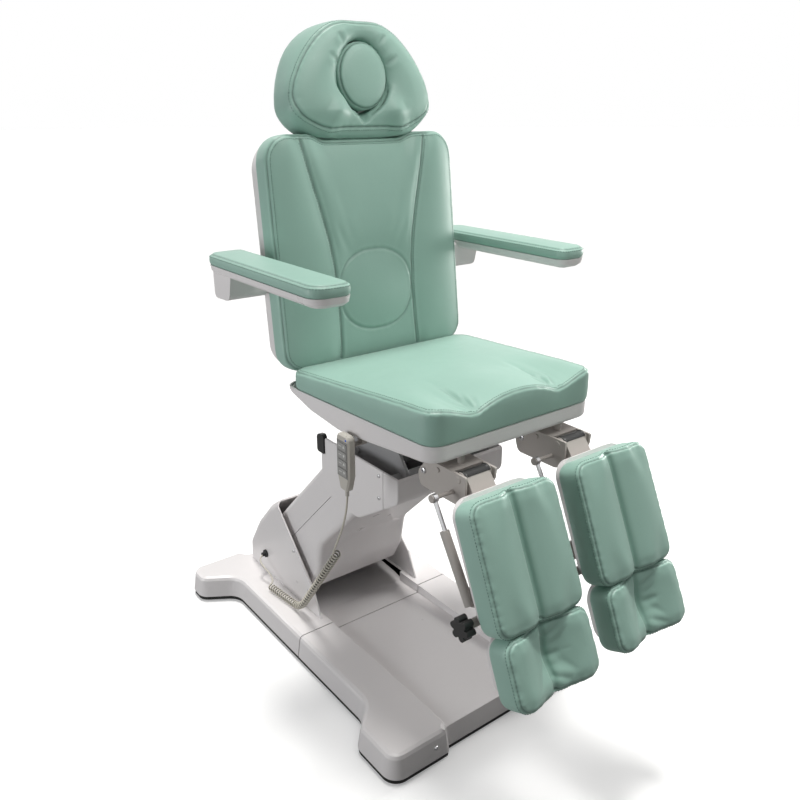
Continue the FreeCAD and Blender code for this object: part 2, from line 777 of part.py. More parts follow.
pan = rounded(pan, 12, pan_edge)
tray_radii = [pan_corner - PAN_WALL, pan_corner - PAN_WALL, 36, 36]
tray_plan = pan_plan(PAN_PROUD - PAN_WALL, PAN_REAR_Y - PAN_WALL)
tray = prism_z(tray_plan, tray_radii, PAN_LOW_Z - 20, SEAT_BOTTOM + 5)
tray = tray.common(prism_x(pan_side(PAN_WALL), [0, 60, 200, 80, 0, 0, 0], -400, 400))
pan = pan.cut(tray)
boss_spots = [(RAIL_X + 15, 205), (RAIL_X + 15, 330)]
bosses = []
for x, y in boss_spots:
    for side in (-1, 1):
        bosses.append(rod_z(11, PAN_LOW_Z + 5, rail_low, side * x, y))
pan = joined([pan] + bosses)
pan = pan.cut(box(-PAN_OPEN_HALF, PAN_OPEN_HALF, 224, PAN_REAR_Y + 60, 700, SEAT_BOTTOM + 50))
post_spots = [0.0, 52.0]
for y in post_spots:
    for side in (-1, 1):
        pan = pan.cut(rod_z(9.5, 700, SEAT_BOTTOM + 20, side * LEG_X, y + 15))
nodes["seat_pan"] = pan

# Seat cushion

slope = (SEAT_REAR_TOP - SEAT_FRONT_TOP) / SEAT_DEEP
cushion_low = SEAT_BOTTOM + SOFT_GAP


def seat_spot(x, y, share):
    top = SEAT_FRONT_TOP + slope * y
    return vec(x, y, cushion_low + (top - cushion_low) * share)


seat_plan = pan_plan(0, SEAT_DEEP)
crown_share = 1.0 + SEAT_CROWN / (SEAT_FRONT_TOP - SEAT_BOTTOM)
seat_levels = [(8, 0.0), (0, 0.25), (0, 0.75), (3, 0.92), (12, 1.0), (50, crown_share)]
seat = skin(seat_levels, seat_plan, [SEAT_CORNER + 20, SEAT_CORNER + 20, 62, 62], seat_spot)
thigh_radius = 90.0
for side in (-1, 1):
    fall = math.degrees(math.atan2(THIGH_DEPTH, 160.0))
    groove = Part.makeCone(thigh_radius, thigh_radius * 0.6, 260, vec(0, 0, 0), vec(0, 1, 0))
    groove.rotate(vec(0, 0, 0), vec(1, 0, 0), fall - 2)
    groove.translate(vec(side * THIGH_X, -40, SEAT_FRONT_TOP + thigh_radius - THIGH_DEPTH - 6))
    seat = seat.cut(groove)
nodes["seat_cushion"] = seat

# Backrest, drawn upright with its hinge at the origin: +Z up the back, -Y to the front

back_half = [
    (BACK_LOW_HALF, BACK_LOW),
    (BACK_TOP_HALF, BACK_HIGH),
    (NECK_HALF + 30, BACK_HIGH),
    (NECK_HALF, BACK_HIGH - NECK_DIP),
]
back_points = both_sides(back_half)
back_half_radii = [60, BACK_CORNER, 30, 30]
back_radii = back_half_radii + list(reversed(back_half_radii))
shell_rim = SHELL_BACK - SHELL_DEEP
cushion_back = shell_rim - SOFT_GAP


def back_spot(x, z, n):
    return vec(x, -n, z)


back_levels = [
    (8, -cushion_back),
    (0, -cushion_back + 14),
    (0, -cushion_back + BACK_DEEP - 12),
    (4, -cushion_back + BACK_DEEP - 4),
    (12, -cushion_back + BACK_DEEP),
    (26, -cushion_back + BACK_DEEP + BACK_CROWN * 0.7),
]
back_pad = skin(back_levels, back_points, back_radii, back_spot)
nodes["back_cushion"] = placed(back_pad, HINGE_Y, HINGE_Z, -BACK_LEAN)

shell_points = inset(back_points, -SHELL_PROUD)
shell_radii = turned(back_points, back_radii, -SHELL_PROUD)
shell_levels = [(16, -SHELL_BACK), (4, -SHELL_BACK + 8), (0, -SHELL_BACK + 20), (0, -shell_rim)]
shell = skin(shell_levels, shell_points, shell_radii, back_spot)
hollow_points = inset(shell_points, SHELL_WALL)
hollow_radii = turned(shell_points, shell_radii, SHELL_WALL)
hollow_levels = [
    (16, -SHELL_BACK + SHELL_WALL),
    (4, -SHELL_BACK + SHELL_WALL + 8),
    (0, -SHELL_BACK + SHELL_WALL + 18),
    (0, -shell_rim + 2),
]
shell = shell.cut(skin(hollow_levels, hollow_points, hollow_radii, back_spot))
shell = shell.cut(box(-UPRIGHT_X - 16, UPRIGHT_X + 16, -60, SHELL_BACK + 5, -40, BACK_LOW + 40))
bar_mid = SHELL_BACK - SHELL_WALL - 6
shell = shell.cut(box(-BAR_HALF - 4, BAR_HALF + 4, bar_mid - 9, bar_mid + 9, BACK_HIGH - 80, BACK_HIGH + 20))
for side in (-1, 1):
    x0 = min(side * 250, side * 320)
    shell = shell.cut(rod_x(ARMREST_PIN + 1, x0, x0 + 70, -ARMREST_N, ARMREST_E))
nodes["back_shell"] = placed(shell, HINGE_Y, HINGE_Z, -BACK_LEAN)

frame_in = SHELL_BACK - SHELL_WALL - SOFT_GAP
upright_line = [
    (-15, -15),
    (15, -15),
    (frame_in, 70),
    (frame_in, 548),
    (18, 548),
    (18, BACK_LOW + 43),
    (shell_rim + 4, BACK_LOW - 4),
    (-15, 15),
]
frame = []
for side in (-1, 1):
    x0 = min(side * UPRIGHT_X, side * (UPRIGHT_X + UPRIGHT_THICK))
    upright = prism_x(upright_line, [13, 13, 40, 6, 6, 20, 6, 13], x0, x0 + UPRIGHT_THICK)
    frame.append(upright)
    x0 = min(side * 12, side * 22)
    tip_a = math.radians(LEVER_ANGLE + BACK_LEAN)
    tip_y = LEVER_ARM * math.cos(tip_a)
    tip_z = LEVER_ARM * math.sin(tip_a)
    lever = prism_x([(-14, 10), (tip_y - 16, tip_z - 2), (tip_y - 6, tip_z - 15), (tip_y + 13, tip_z - 9),
                     (tip_y + 14, tip_z + 8), (14, 12)], [8, 8, 8, 8, 8, 6], x0, x0 + 10)
    frame.append(lever)
frame.append(rod_x(16, -UPRIGHT_X - 2, UPRIGHT_X + 2, 0, 0))
for z in (150, ARMREST_E, 420, 520):
    frame.append(box(-UPRIGHT_X - 5, UPRIGHT_X + 5, 19, frame_in - 1, z, z + 28))
frame.append(box(-UPRIGHT_X - 5, UPRIGHT_X + 5, shell_rim, frame_in - 1, 330, 350))
frame.append(rod_x(6, -24, 24, tip_y, tip_z))
frame = joined(frame)
frame = frame.cut(rod_x(HINGE_PIN + PIN_GAP, -200, 200, 0, 0))
guide_half = BAR_HALF + SLIDE_GAP
guide_t = 0.5 * BAR_THICK + SLIDE_GAP
frame = frame.cut(box(-guide_half, guide_half, bar_mid - guide_t, bar_mid + guide_t, 360, 700))
nodes["back_frame"] = placed(frame, HINGE_Y, HINGE_Z, -BACK_LEAN)

# Back actuator: tube fixed under the seat, rod on the lever

push_tube = rod_y(PUSH_TUBE, PUSH_START, PUSH_START + PUSH_LONG, 0, push_z)
push_tube = push_tube.fuse(rod_z(24, push_z - 74, push_z - 6, 0, PUSH_START + 30))
push_tube = push_tube.cut(rod_y(PUSH_BORE, PUSH_START + 22, PUSH_START + PUSH_LONG + 1, 0, push_z))
nodes["back_actuator_motor"] = push_tube.removeSplitter()
tip = math.radians(LEVER_ANGLE)
rod_end_y = HINGE_Y + LEVER_ARM * math.cos(tip)
rod_end_z = HINGE_Z + LEVER_ARM * math.sin(tip)
push_rod = rod_y(PUSH_ROD, PUSH_START + 100, rod_end_y - 4, 0, rod_end_z)
push_rod = push_rod.fuse(rod_x(12, -11.5, 11.5, rod_end_y, rod_end_z))
push_rod = push_rod.cut(rod_x(6 + PIN_GAP, -20, 20, rod_end_y, rod_end_z))
nodes["back_actuator_rod"] = push_rod.removeSplitter()

# Armrests on their pins

armrest_in = SEAT_REAR_HALF + ARMREST_CLEAR
armrest_out = armrest_in + ARMREST_WIDE
mounts = []
for side in (-1, 1):
    inner = UPRIGHT_X + UPRIGHT_THICK
    collar = BACK_LOW_HALF + SHELL_PROUD + 1
    x0 = min(side * inner, side * (armrest_out - 24))
    mounts.append(joined([
        rod_x(ARMREST_PIN, x0, x0 + armrest_out - 24 - inner, -ARMREST_N, ARMREST_E),
        rod_x(24, min(side * collar, side * (collar + 9)), max(side * collar, side * (collar + 9)),
              -ARMREST_N, ARMREST_E),
    ]))
nodes["armrest_mounts"] = placed(group(mounts), HINGE_Y, HINGE_Z, -BACK_LEAN)

tilt = math.radians(BACK_LEAN)
pin_y = HINGE_Y + ARMREST_E * math.sin(tilt) - ARMREST_N * math.cos(tilt)
pin_z = HINGE_Z + ARMREST_E * math.cos(tilt) + ARMREST_N * math.sin(tilt)
shell_top = ARMREST_TOP - PAD_THICK - SOFT_GAP
shell_low = shell_top - ARMREST_SHELL
arm_plan = [(armrest_in, ARMREST_FRONT), (armrest_out, ARMREST_FRONT), (armrest_out, ARMREST_REAR),
            (armrest_in, ARMREST_REAR)]
arm_plan_radii = [26, 40, 26, 18]


def flat_spot(x, y, z):
    return vec(x, y, z)


arm_shell = skin([(14, shell_low), (3, shell_low + 8), (0, shell_top)], arm_plan, arm_plan_radii, flat_spot)
housing_in = collar + 9 + 1
housing = prism_x([(pin_y - 42, pin_z - 30), (pin_y + 40, pin_z - 34), (pin_y + 40, shell_top - 6),
                   (pin_y - 60, shell_top - 6)], [22, 16, 8, 10], housing_in, armrest_out - 14)
arm_shell = joined([arm_shell, housing])
arm_shell = arm_shell.cut(rod_x(ARMREST_PIN + PIN_GAP, 200, armrest_out - 23, pin_y, pin_z))
nodes["armrest_shell_left"] = arm_shell
nodes["armrest_shell_right"] = mirrored(arm_shell)
arm_pad_low = shell_top + SOFT_GAP
arm_pad = skin([(4, arm_pad_low), (0, arm_pad_low + 7), (0, ARMREST_TOP - 10), (5, ARMREST_TOP - 3),
                (14, ARMREST_TOP)], arm_plan, arm_plan_radii, flat_spot)
nodes["armrest_pad_left"] = arm_pad
nodes["armrest_pad_right"] = mirrored(arm_pad)

# Headrest

head_hinge_y = -HEAD_HINGE_N
bar = box(-BAR_HALF, BAR_HALF, bar_mid - 0.5 * BAR_THICK, bar_mid + 0.5 * BAR_THICK,
          HEAD_HINGE_E - BAR_LONG, HEAD_HINGE_E - 10)
knuckle = prism_x([(bar_mid - 4, HEAD_HINGE_E - 44), (head_hinge_y + 10, HEAD_HINGE_E - 12),
                   (head_hinge_y + 10, HEAD_HINGE_E + 10), (head_hinge_y - 10, HEAD_HINGE_E + 10),
                   (bar_mid - 4, HEAD_HINGE_E - 10)], [2, 8, 8, 8, 4], -BAR_HALF + 8, BAR_HALF - 8)
bar = joined([bar, knuckle, rod_x(6, -BAR_HALF - 16, BAR_HALF + 16, head_hinge_y, HEAD_HINGE_E)])
nodes["headrest_bar"] = placed(bar, HINGE_Y, HINGE_Z, -BACK_LEAN)

head_high = HEAD_LOW + HEAD_TALL
head_points = [
    (-HEAD_HALF, HEAD_LOW),
    (HEAD_HALF, HEAD_LOW),
    (HEAD_HALF, HEAD_LOW + HEAD_SHOULDER),
    (HEAD_TOP_HALF, head_high),
    (-HEAD_TOP_HALF, head_high),
    (-HEAD_HALF, HEAD_LOW + HEAD_SHOULDER),
]
low_round = [HEAD_LOW_ROUND, HEAD_LOW_ROUND]
head_radii = low_round + [HEAD_SIDE_ROUND, HEAD_TOP_ROUND, HEAD_TOP_ROUND, HEAD_SIDE_ROUND]
head_front = HEAD_BACK + HEAD_DEEP
head_levels = [
    (10, HEAD_BACK),
    (0, HEAD_BACK + 22),
    (0, head_front - 30),
    (7, head_front - 12),
    (22, head_front),
]
head = skin(head_levels, head_points, head_radii, back_spot)
plug_low = PLUG_MID - 0.5 * PLUG_TALL
plug_points = [(-PLUG_HALF, plug_low), (PLUG_HALF, plug_low), (PLUG_HALF, plug_low + PLUG_TALL),
               (-PLUG_HALF, plug_low + PLUG_TALL)]
plug_radii = [PLUG_HALF - 3, PLUG_HALF - 3, PLUG_HALF - 3, PLUG_HALF - 3]
hole_points = inset(plug_points, -SOFT_GAP)
hole_radii = turned(plug_points, plug_radii, -SOFT_GAP)
hole = skin([(0, HEAD_BACK - 30), (0, head_front + 30)], hole_points, hole_radii, back_spot)
notch = prism_y([(-16, plug_low + 14), (0, plug_low - 30), (16, plug_low + 14)], [0, 2, 0],
                -head_front - 20, -head_front + 46)
head = head.cut(hole).cut(notch)
nodes["headrest_cushion"] = placed(head, HINGE_Y, HINGE_Z, -BACK_LEAN)
plug = skin([(6, HEAD_BACK + 20), (0, HEAD_BACK + 34), (0, head_front - 12), (7, head_front - 2),
             (20, head_front + 4)], plug_points, plug_radii, back_spot)
nodes["headrest_plug"] = placed(plug, HINGE_Y, HINGE_Z, -BACK_LEAN)
board_back = HEAD_BACK - SOFT_GAP
board = skin([(26, board_back - 8), (22, board_back)], head_points, head_radii, back_spot)
board = board.cut(hole)
ears = []
for side in (-1, 1):
    x0 = min(side * (BAR_HALF + 1), side * (BAR_HALF + 11))
    ear = prism_x([(head_hinge_y - 12, HEAD_HINGE_E - 14), (head_hinge_y + 11, HEAD_HINGE_E - 11),
                   (head_hinge_y + 11, HEAD_HINGE_E + 11), (-board_back + 4, HEAD_HINGE_E + 30),
                   (-board_back + 4, HEAD_HINGE_E - 26)], [4, 9, 9, 6, 4], x0, x0 + 10)
    ears.append(ear)
board = joined([board] + ears)
board = board.cut(rod_x(6 + PIN_GAP, -80, 80, head_hinge_y, HEAD_HINGE_E))
nodes["headrest_plate"] = placed(board, HINGE_Y, HINGE_Z, -BACK_LEAN)

# Legs, drawn hanging from the hinge at the origin: -Z down the leg, -Y to the front


def leg_spot(x, z, n):
    return vec(x, -n, z)


def leg_outline(top, end):
    return [(-LEG_HALF, -end), (LEG_HALF, -end), (LEG_HALF, -top), (-LEG_HALF, -top)]


def leg_placed(shape, side):
    made = placed(shape, LEG_Y, LEG_Z, -LEG_LEAN)
    made.translate(vec(side * LEG_X, 0, 0))
    return made


leg_radii = [44, 44, 44, 44]
knuckle_half = BRACKET_HALF - BRACKET_THICK - SLIDE_GAP
leg_frame = joined([
    rod_x(15, -knuckle_half, knuckle_half, 0, 0),
    prism_x([(-TUBE_OUT, -40), (-TUBE_IN, -40), (14, 0), (-4, 14), (-15, 2)], [0, 0, 12, 8, 12],
            -TUBE_HALF, TUBE_HALF),
    box(-TUBE_HALF, TUBE_HALF, -TUBE_OUT, -TUBE_IN, -LEG_SHELL_END + 4, -36),
])
leg_frame = leg_frame.cut(rod_x(LEG_PIN + PIN_GAP, -80, 80, 0, 0))
slot_half = TUBE_HALF - TUBE_WALL
leg_frame = leg_frame.cut(box(-slot_half, slot_half, -TUBE_OUT + TUBE_WALL, -TUBE_IN - TUBE_WALL,
                              -LEG_SHELL_END - 1, -60))
# Gas strut beside each leg: tube on the leg, rod on the seat bracket
strut_b_e = 245.0
strut_a = (28.0, -24.0)
strut_b = (0.0, -strut_b_e)
strut_way = math.atan2(strut_b[0] - strut_a[0], strut_a[1] - strut_b[1])
strut_turn = math.degrees(strut_way) - 0.4
strut_long = math.hypot(strut_b[0] - strut_a[0], strut_b[1] - strut_a[1])
strut_shift = 2.96
tube = rod_z(STRUT_TUBE, -strut_long - 14, -72, 0, strut_shift)
tube = tube.cut(rod_z(STRUT_BORE, -strut_long + 18, -71, 0, strut_shift))
rod = joined([rod_z(STRUT_ROD, -strut_long + 60, -4, 0, 0), rod_x(10, -5, 5, 0, 0)])
rod = rod.cut(rod_x(5 + PIN_GAP, -20, 20, 0, 0))
strut_tube = moved(placed(tube, strut_a[0], strut_a[1], strut_turn), STRUT_X, 0, 0)
strut_rod = moved(placed(rod, strut_a[0], strut_a[1], strut_turn), STRUT_X, 0, 0)
strut_room = placed(rod_z(STRUT_TUBE, -400, 0, 0, strut_shift), strut_a[0], strut_a[1], strut_turn)
strut_room = moved(strut_room, STRUT_X, 0, 0)
strut_arm_line = [
    (-10, -strut_b_e - 22),
    (10, -strut_b_e - 22),
    (10, -strut_b_e + 22),
    (-10, -strut_b_e + 22),
]
strut_arm = prism_x(strut_arm_line, [9, 9, 9, 9], STRUT_X, -TUBE_HALF + 1)
knob_post = prism_x([(-KNOB_N - 9, -KNOB_E - 9), (-KNOB_N + 9, -KNOB_E - 9), (-KNOB_N + 9, -KNOB_E + 9),
                     (-KNOB_N - 9, -KNOB_E + 9)], [5, 5, 5, 5], -LEG_HALF - 10, -TUBE_HALF + 1)
leg_frame = joined([leg_frame, strut_arm.cut(strut_room), knob_post])
knob_x = -LEG_HALF - 10
leg_frame = leg_frame.cut(rod_x(5 + PIN_GAP, knob_x - 1, -TUBE_HALF - 20, -KNOB_N, -KNOB_E))

leg_shell = skin([(14, LEG_SHELL_IN + SOFT_GAP), (2, LEG_SHELL_IN + 9), (0, LEG_SHELL_OUT)],
                 leg_outline(LEG_SHELL_TOP, LEG_SHELL_END), leg_radii, leg_spot)
pad_in = LEG_SHELL_OUT + SOFT_GAP


def leg_pad(top, end, dip):
    deep = CALF_DEEP
    made = skin([(5, pad_in), (0, pad_in + 12), (0, pad_in + deep - 16), (5, pad_in + deep - 5),
                 (16, pad_in + deep)], leg_outline(top, end), leg_radii, leg_spot)
    radius = 74.0
    trough = rod_z(radius, -end - 40, -top + 40, 0, -(pad_in + deep + radius - dip))
    return made.cut(trough)


calf = leg_pad(CALF_TOP, CALF_END, TROUGH_DEPTH)
foot = leg_pad(FOOT_TOP, FOOT_END, TROUGH_DEPTH + 6)
foot_shell = skin([(14, LEG_SHELL_IN + SOFT_GAP), (2, LEG_SHELL_IN + 9), (0, LEG_SHELL_OUT)],
                  leg_outline(FOOT_TOP, FOOT_END), leg_radii, leg_spot)
slide_n0 = TUBE_IN + TUBE_WALL + SLIDE_GAP
slide_n1 = TUBE_OUT - TUBE_WALL - SLIDE_GAP
slide_bar = joined([
    box(-slot_half + SLIDE_GAP, slot_half - SLIDE_GAP, -slide_n1, -slide_n0, -FOOT_END + 40, -170),
    box(-slot_half + SLIDE_GAP, slot_half - SLIDE_GAP, -LEG_SHELL_IN - SOFT_GAP, -slide_n0,
        -FOOT_END + 40, -FOOT_TOP - 8),
])

knob_star = []
for i in range(6):
    turn = math.radians(60 * i)
    knob_star.append(rod_x(8, knob_x - KNOB_DEEP, knob_x - 2, -KNOB_N + (KNOB_RADIUS - 8) * math.sin(turn),
                           -KNOB_E + (KNOB_RADIUS - 8) * math.cos(turn)))
knob_star.append(rod_x(KNOB_RADIUS - 9, knob_x - KNOB_DEEP, knob_x - 2, -KNOB_N, -KNOB_E))
knob_star.append(rod_x(11, knob_x - 2.5, knob_x - SOFT_GAP, -KNOB_N, -KNOB_E))
knob_star.append(rod_x(5, knob_x - 6, -TUBE_HALF - 22, -KNOB_N, -KNOB_E))
knob = joined(knob_star)

# Leg brackets under the seat pan

flange_z = PAN_LOW_Z + 2
side_line = [
    (LEG_Y - 24, flange_z),
    (LEG_Y - 24, LEG_Z - 34),
    (LEG_Y - 4, flange_z - 74),
    (98, flange_z - 74),
    (110, flange_z - 42),
    (76, flange_z),
]
lean_leg = math.radians(LEG_LEAN)
strut_top_y = LEG_Y + strut_a[0] * math.cos(lean_leg) + strut_a[1] * math.sin(lean_leg)
strut_top_z = LEG_Z - strut_a[0] * math.sin(lean_leg) + strut_a[1] * math.cos(lean_leg)
outer_plate = prism_x(side_line, [4, 20, 24, 16, 18, 6], -BRACKET_HALF, -BRACKET_HALF + BRACKET_THICK)
inner_line = [
    (LEG_Y - 24, flange_z),
    (LEG_Y - 20, LEG_Z - 26),
    (LEG_Y + 24, LEG_Z - 26),
    (76, flange_z),
]
inner_plate = prism_x(inner_line, [4, 18, 18, 6], BRACKET_HALF - BRACKET_THICK, BRACKET_HALF)
bracket = [
    outer_plate,
    inner_plate,
    box(-BRACKET_HALF, BRACKET_HALF, LEG_Y + 18, 76, flange_z - 6, flange_z),
    rod_x(LEG_PIN, -BRACKET_HALF - 2, BRACKET_HALF + 2, LEG_Y, LEG_Z),
    rod_x(5, STRUT_X - 8, -BRACKET_HALF + 3, strut_top_y, strut_top_z),
    rod_x(9, STRUT_X - 9, STRUT_X - 6, strut_top_y, strut_top_z),
    rod_x(6, -BRACKET_HALF - 3, -BRACKET_HALF + 3, 39, flange_z - 14),
]
for y in post_spots:
    bracket.append(rod_z(8, flange_z - 3, rail_low, 0, y + 15))
bracket = joined(bracket)
nodes["leg_brackets"] = group([moved(bracket, -LEG_X, 0, 0), moved(bracket, LEG_X, 0, 0)])

for name, side in (("right", -1), ("left", 1)):
    nodes["leg_frame_" + name] = leg_placed(leg_frame, side)
    nodes["leg_shell_" + name] = leg_placed(leg_shell, side)
    nodes["calf_cushion_" + name] = leg_placed(calf, side)
    nodes["foot_slide_bar_" + name] = leg_placed(slide_bar, side)
    nodes["foot_shell_" + name] = leg_placed(foot_shell, side)
    nodes["foot_cushion_" + name] = leg_placed(foot, side)
    nodes["leg_knob_" + name] = leg_placed(knob, side)
    nodes["strut_tube_" + name] = leg_placed(strut_tube, side)
    nodes["strut_rod_" + name] = leg_placed(strut_rod, side)

# Handset on its hook

set_x = -SET_IN - SET_THICK
set_plan = [
    (SET_Y - 0.5 * SET_NARROW, SET_LOW),
    (SET_Y + 0.5 * SET_NARROW, SET_LOW),
    (SET_Y + 0.5 * SET_WIDE, SET_LOW + SET_TAPER),
    (SET_Y + 0.5 * SET_WIDE, SET_LOW + SET_TALL),
    (SET_Y - 0.5 * SET_WIDE, SET_LOW + SET_TALL),
    (SET_Y - 0.5 * SET_WIDE, SET_LOW + SET_TAPER),
]


def set_spot(y, z, x):
    return vec(x, y, z)


set_levels = [(5, -SET_IN), (0, -SET_IN - 5), (0, set_x + 4), (4, set_x)]
case = skin(set_levels, set_plan, [10, 10, 40, 14, 14, 40], set_spot)
hook_z = SET_LOW + SET_TALL - 22
pocket = box(-SET_IN - 7, -SET_IN + 1, SET_Y - 12, SET_Y + 12, hook_z - 14, hook_z)
case = case.cut(pocket)
key_x0 = set_x - KEY_PROUD
for i in range(4):
    z = SET_LOW + KEY_LOW + KEY_PITCH * i
    case = case.cut(box(set_x - 1, set_x + 5, SET_Y - 0.5 * KEY_WIDE - 0.4, SET_Y + 0.5 * KEY_WIDE + 0.4,
                        z - 0.4, z + KEY_TALL + 0.4))
    key_line = [
        (SET_Y - 0.5 * KEY_WIDE, z),
        (SET_Y + 0.5 * KEY_WIDE, z),
        (SET_Y + 0.5 * KEY_WIDE, z + KEY_TALL),
        (SET_Y - 0.5 * KEY_WIDE, z + KEY_TALL),
    ]
    key = prism_x(key_line, [4, 4, 4, 4], key_x0, set_x + 3.4)
    nodes["handset_key_" + str(i + 1)] = key
relief = rod_z(5, SET_LOW - 16, SET_LOW + 4, set_x + 0.5 * SET_THICK, SET_Y)
case = case.fuse(relief)
case = case.cut(rod_z(CORD_RADIUS + SOFT_GAP, SET_LOW - 20, SET_LOW - 6, set_x + 0.5 * SET_THICK, SET_Y))
nodes["handset_case"] = case.removeSplitter()
hook_low = hook_z - 13
hook = joined([
    box(-SET_IN - 5, -SET_IN - 2, SET_Y - 10, SET_Y + 10, hook_low, hook_z - 0.1),
    box(-SET_IN - 5, -236, SET_Y - 10, SET_Y + 10, hook_low, hook_low + 3),
    box(-250, -236, SET_Y - 10, SET_Y + 10, hook_low, PAN_LOW_Z + 4),
])
nodes["handset_hook"] = hook

# Handset cord: a plain tail from the base, a curled middle and a plain lead to the handset

coil_low = RAIL_TOP + COIL_RADIUS + CORD_RADIUS + 2
tail_start = vec(-HUMP_HALF + 2, GLAND_Y, GLAND_Z)
tail_out = vec(-HUMP_HALF - 44, GLAND_Y, GLAND_Z)
coil_start = vec(-232, LIFT_Y + 10, coil_low)
coil_bend = vec(-216, LIFT_Y - 150, coil_low)
coil_end = vec(-226, LIFT_Y - 390, LIFT_Z + 165)
lead_top = vec(set_x + 0.5 * SET_THICK, SET_Y, SET_LOW - 7)
lead_low = vec(set_x + 0.5 * SET_THICK, SET_Y, SET_LOW - 70)


def along(a, b):
    way = b.sub(a)
    way.normalize()
    return way


def arc_from(p0, t0, p1):
    # The arc that leaves p0 along t0 and ends at p1.
    chord = p1.sub(p0)
    size = chord.Length
    chord.normalize()
    lean_in = t0.dot(chord)
    side = t0.sub(vec(chord.x * lean_in, chord.y * lean_in, chord.z * lean_in))
    if side.Length < 1e-6:
        return Part.makeLine(p0, p1)
    side.normalize()
    bow = 0.5 * size * math.tan(0.5 * math.acos(max(-1.0, min(1.0, lean_in))))
    middle = p0.add(chord.multiply(0.5 * size)).add(side.multiply(bow))
    return Part.Arc(p0, middle, p1).toShape()


def tube_on(edges, start, way):
    spine = Part.Wire(edges)
    ring = Part.Wire([Part.makeCircle(CORD_RADIUS, start, way)])
    return spine.makePipeShell([ring], True, False)


def bent_cord(points):
    # Straight runs joined by tangent arcs.
    edges = []
    here = points[0]
    for i in range(1, len(points) - 1):
        a = along(points[i], points[i - 1])
        b = along(points[i], points[i + 1])
        run = 0.45 * min(points[i].distanceToPoint(points[i - 1]), points[i].distanceToPoint(points[i + 1]))
        start = points[i].add(a.multiply(run))
        end = points[i].add(b.multiply(run))
        edges.append(Part.makeLine(here, start))
        edges.append(arc_from(start, along(here, points[i]), end))
        here = end
    edges.append(Part.makeLine(here, points[-1]))
    return tube_on(edges, points[0], along(points[0], points[1]))


# The curl winds round a line of two straights joined by one arc
in_way = along(coil_start, coil_bend)
out_way = along(coil_bend, coil_end)
flat_way = in_way.cross(out_way)
flat_way.normalize()
bend_angle = math.acos(in_way.dot(out_way))
bend_run = 70.0
bend_radius = bend_run / math.tan(0.5 * bend_angle)
first_long = coil_start.distanceToPoint(coil_bend) - bend_run
arc_long = bend_radius * bend_angle
last_long = coil_end.distanceToPoint(coil_bend) - bend_run
coil_turns = int((first_long + arc_long + last_long) / COIL_PITCH)
coil_long = coil_turns * COIL_PITCH


def axis_at(s):
    # Point and direction on the middle line of the curl.
    if s <= first_long:
        return coil_start.add(vec(in_way.x * s, in_way.y * s, in_way.z * s)), in_way
    bend_start = coil_start.add(vec(in_way.x * first_long, in_way.y * first_long, in_way.z * first_long))
    angle = min(s - first_long, arc_long) / bend_radius
    inward = flat_way.cross(in_way)
    ahead = bend_radius * math.sin(angle)
    over = bend_radius * (1 - math.cos(angle))
    spot = bend_start.add(vec(in_way.x * ahead, in_way.y * ahead, in_way.z * ahead))
    spot = spot.add(vec(inward.x * over, inward.y * over, inward.z * over))
    c = math.cos(angle)
    d = math.sin(angle)
    way = vec(in_way.x * c + inward.x * d, in_way.y * c + inward.y * d, in_way.z * c + inward.z * d)
    rest = max(0.0, s - first_long - arc_long)
    return spot.add(vec(way.x * rest, way.y * rest, way.z * rest)), way


def curl_at(s):
    spot, way = axis_at(s)
    across = flat_way.cross(way)
    turn = 2 * math.pi * s / COIL_PITCH
    c = COIL_RADIUS * math.cos(turn)
    d = COIL_RADIUS * math.sin(turn)
    return vec(spot.x + across.x * c + flat_way.x * d, spot.y + across.y * c + flat_way.y * d,
               spot.z + across.z * c + flat_way.z * d)


def curl_way(s):
    return along(curl_at(s - 0.001), curl_at(s + 0.001))


curl_edges = []
step = 0.25 * COIL_PITCH
for i in range(4 * coil_turns):
    p0 = curl_at(i * step)
    p1 = curl_at((i + 1) * step)
    t0 = curl_way(i * step)
    t1 = curl_way((i + 1) * step)
    gap = p1.sub(p0)
    both = t0.add(t1)
    open_ = 2 * (1 - t0.dot(t1))
    reach = (math.sqrt(gap.dot(both) ** 2 + open_ * gap.dot(gap)) - gap.dot(both)) / open_
    mid = p0.add(p1).add(t0.sub(t1).multiply(reach)).multiply(0.5)
    curl_edges.append(arc_from(p0, t0, mid))
    back_way = t1.negative()
    far = arc_from(p1, back_way, mid)
    far_mid = far.valueAt(0.5 * (far.FirstParameter + far.LastParameter))
    curl_edges.append(Part.Arc(mid, far_mid, p1).toShape())
nodes_cord = {}
nodes_cord["handset_cord_coil"] = tube_on(curl_edges, curl_at(0), curl_way(0))
closest = 1e9
for i in range(16 * coil_turns):
    for j in range(i + 10, min(i + 24, 16 * coil_turns)):
        closest = min(closest, curl_at(i * COIL_PITCH / 16).distanceToPoint(curl_at(j * COIL_PITCH / 16)))
print("curl gap", round(closest - 2 * CORD_RADIUS, 2), "turns", coil_turns)
curl_first = curl_at(0)
curl_last = curl_at(coil_long)
lead_in = along(curl_at(0), curl_at(0).sub(curl_way(0)))
lead_out = curl_way(coil_long)
tail_near = curl_first.add(vec(lead_in.x * 26, lead_in.y * 26, lead_in.z * 26))
nodes_cord["handset_cord_tail"] = bent_cord([tail_start, tail_out, tail_near, curl_first])
lead_near = curl_last.add(vec(lead_out.x * 26, lead_out.y * 26, lead_out.z * 26))
nodes_cord["handset_cord_lead"] = bent_cord([curl_last, lead_near, lead_low, lead_top])
for name, shape in nodes_cord.items():
    print(name, "volume", round(shape.Volume), "length", round(shape.Volume / (math.pi * CORD_RADIUS ** 2)))


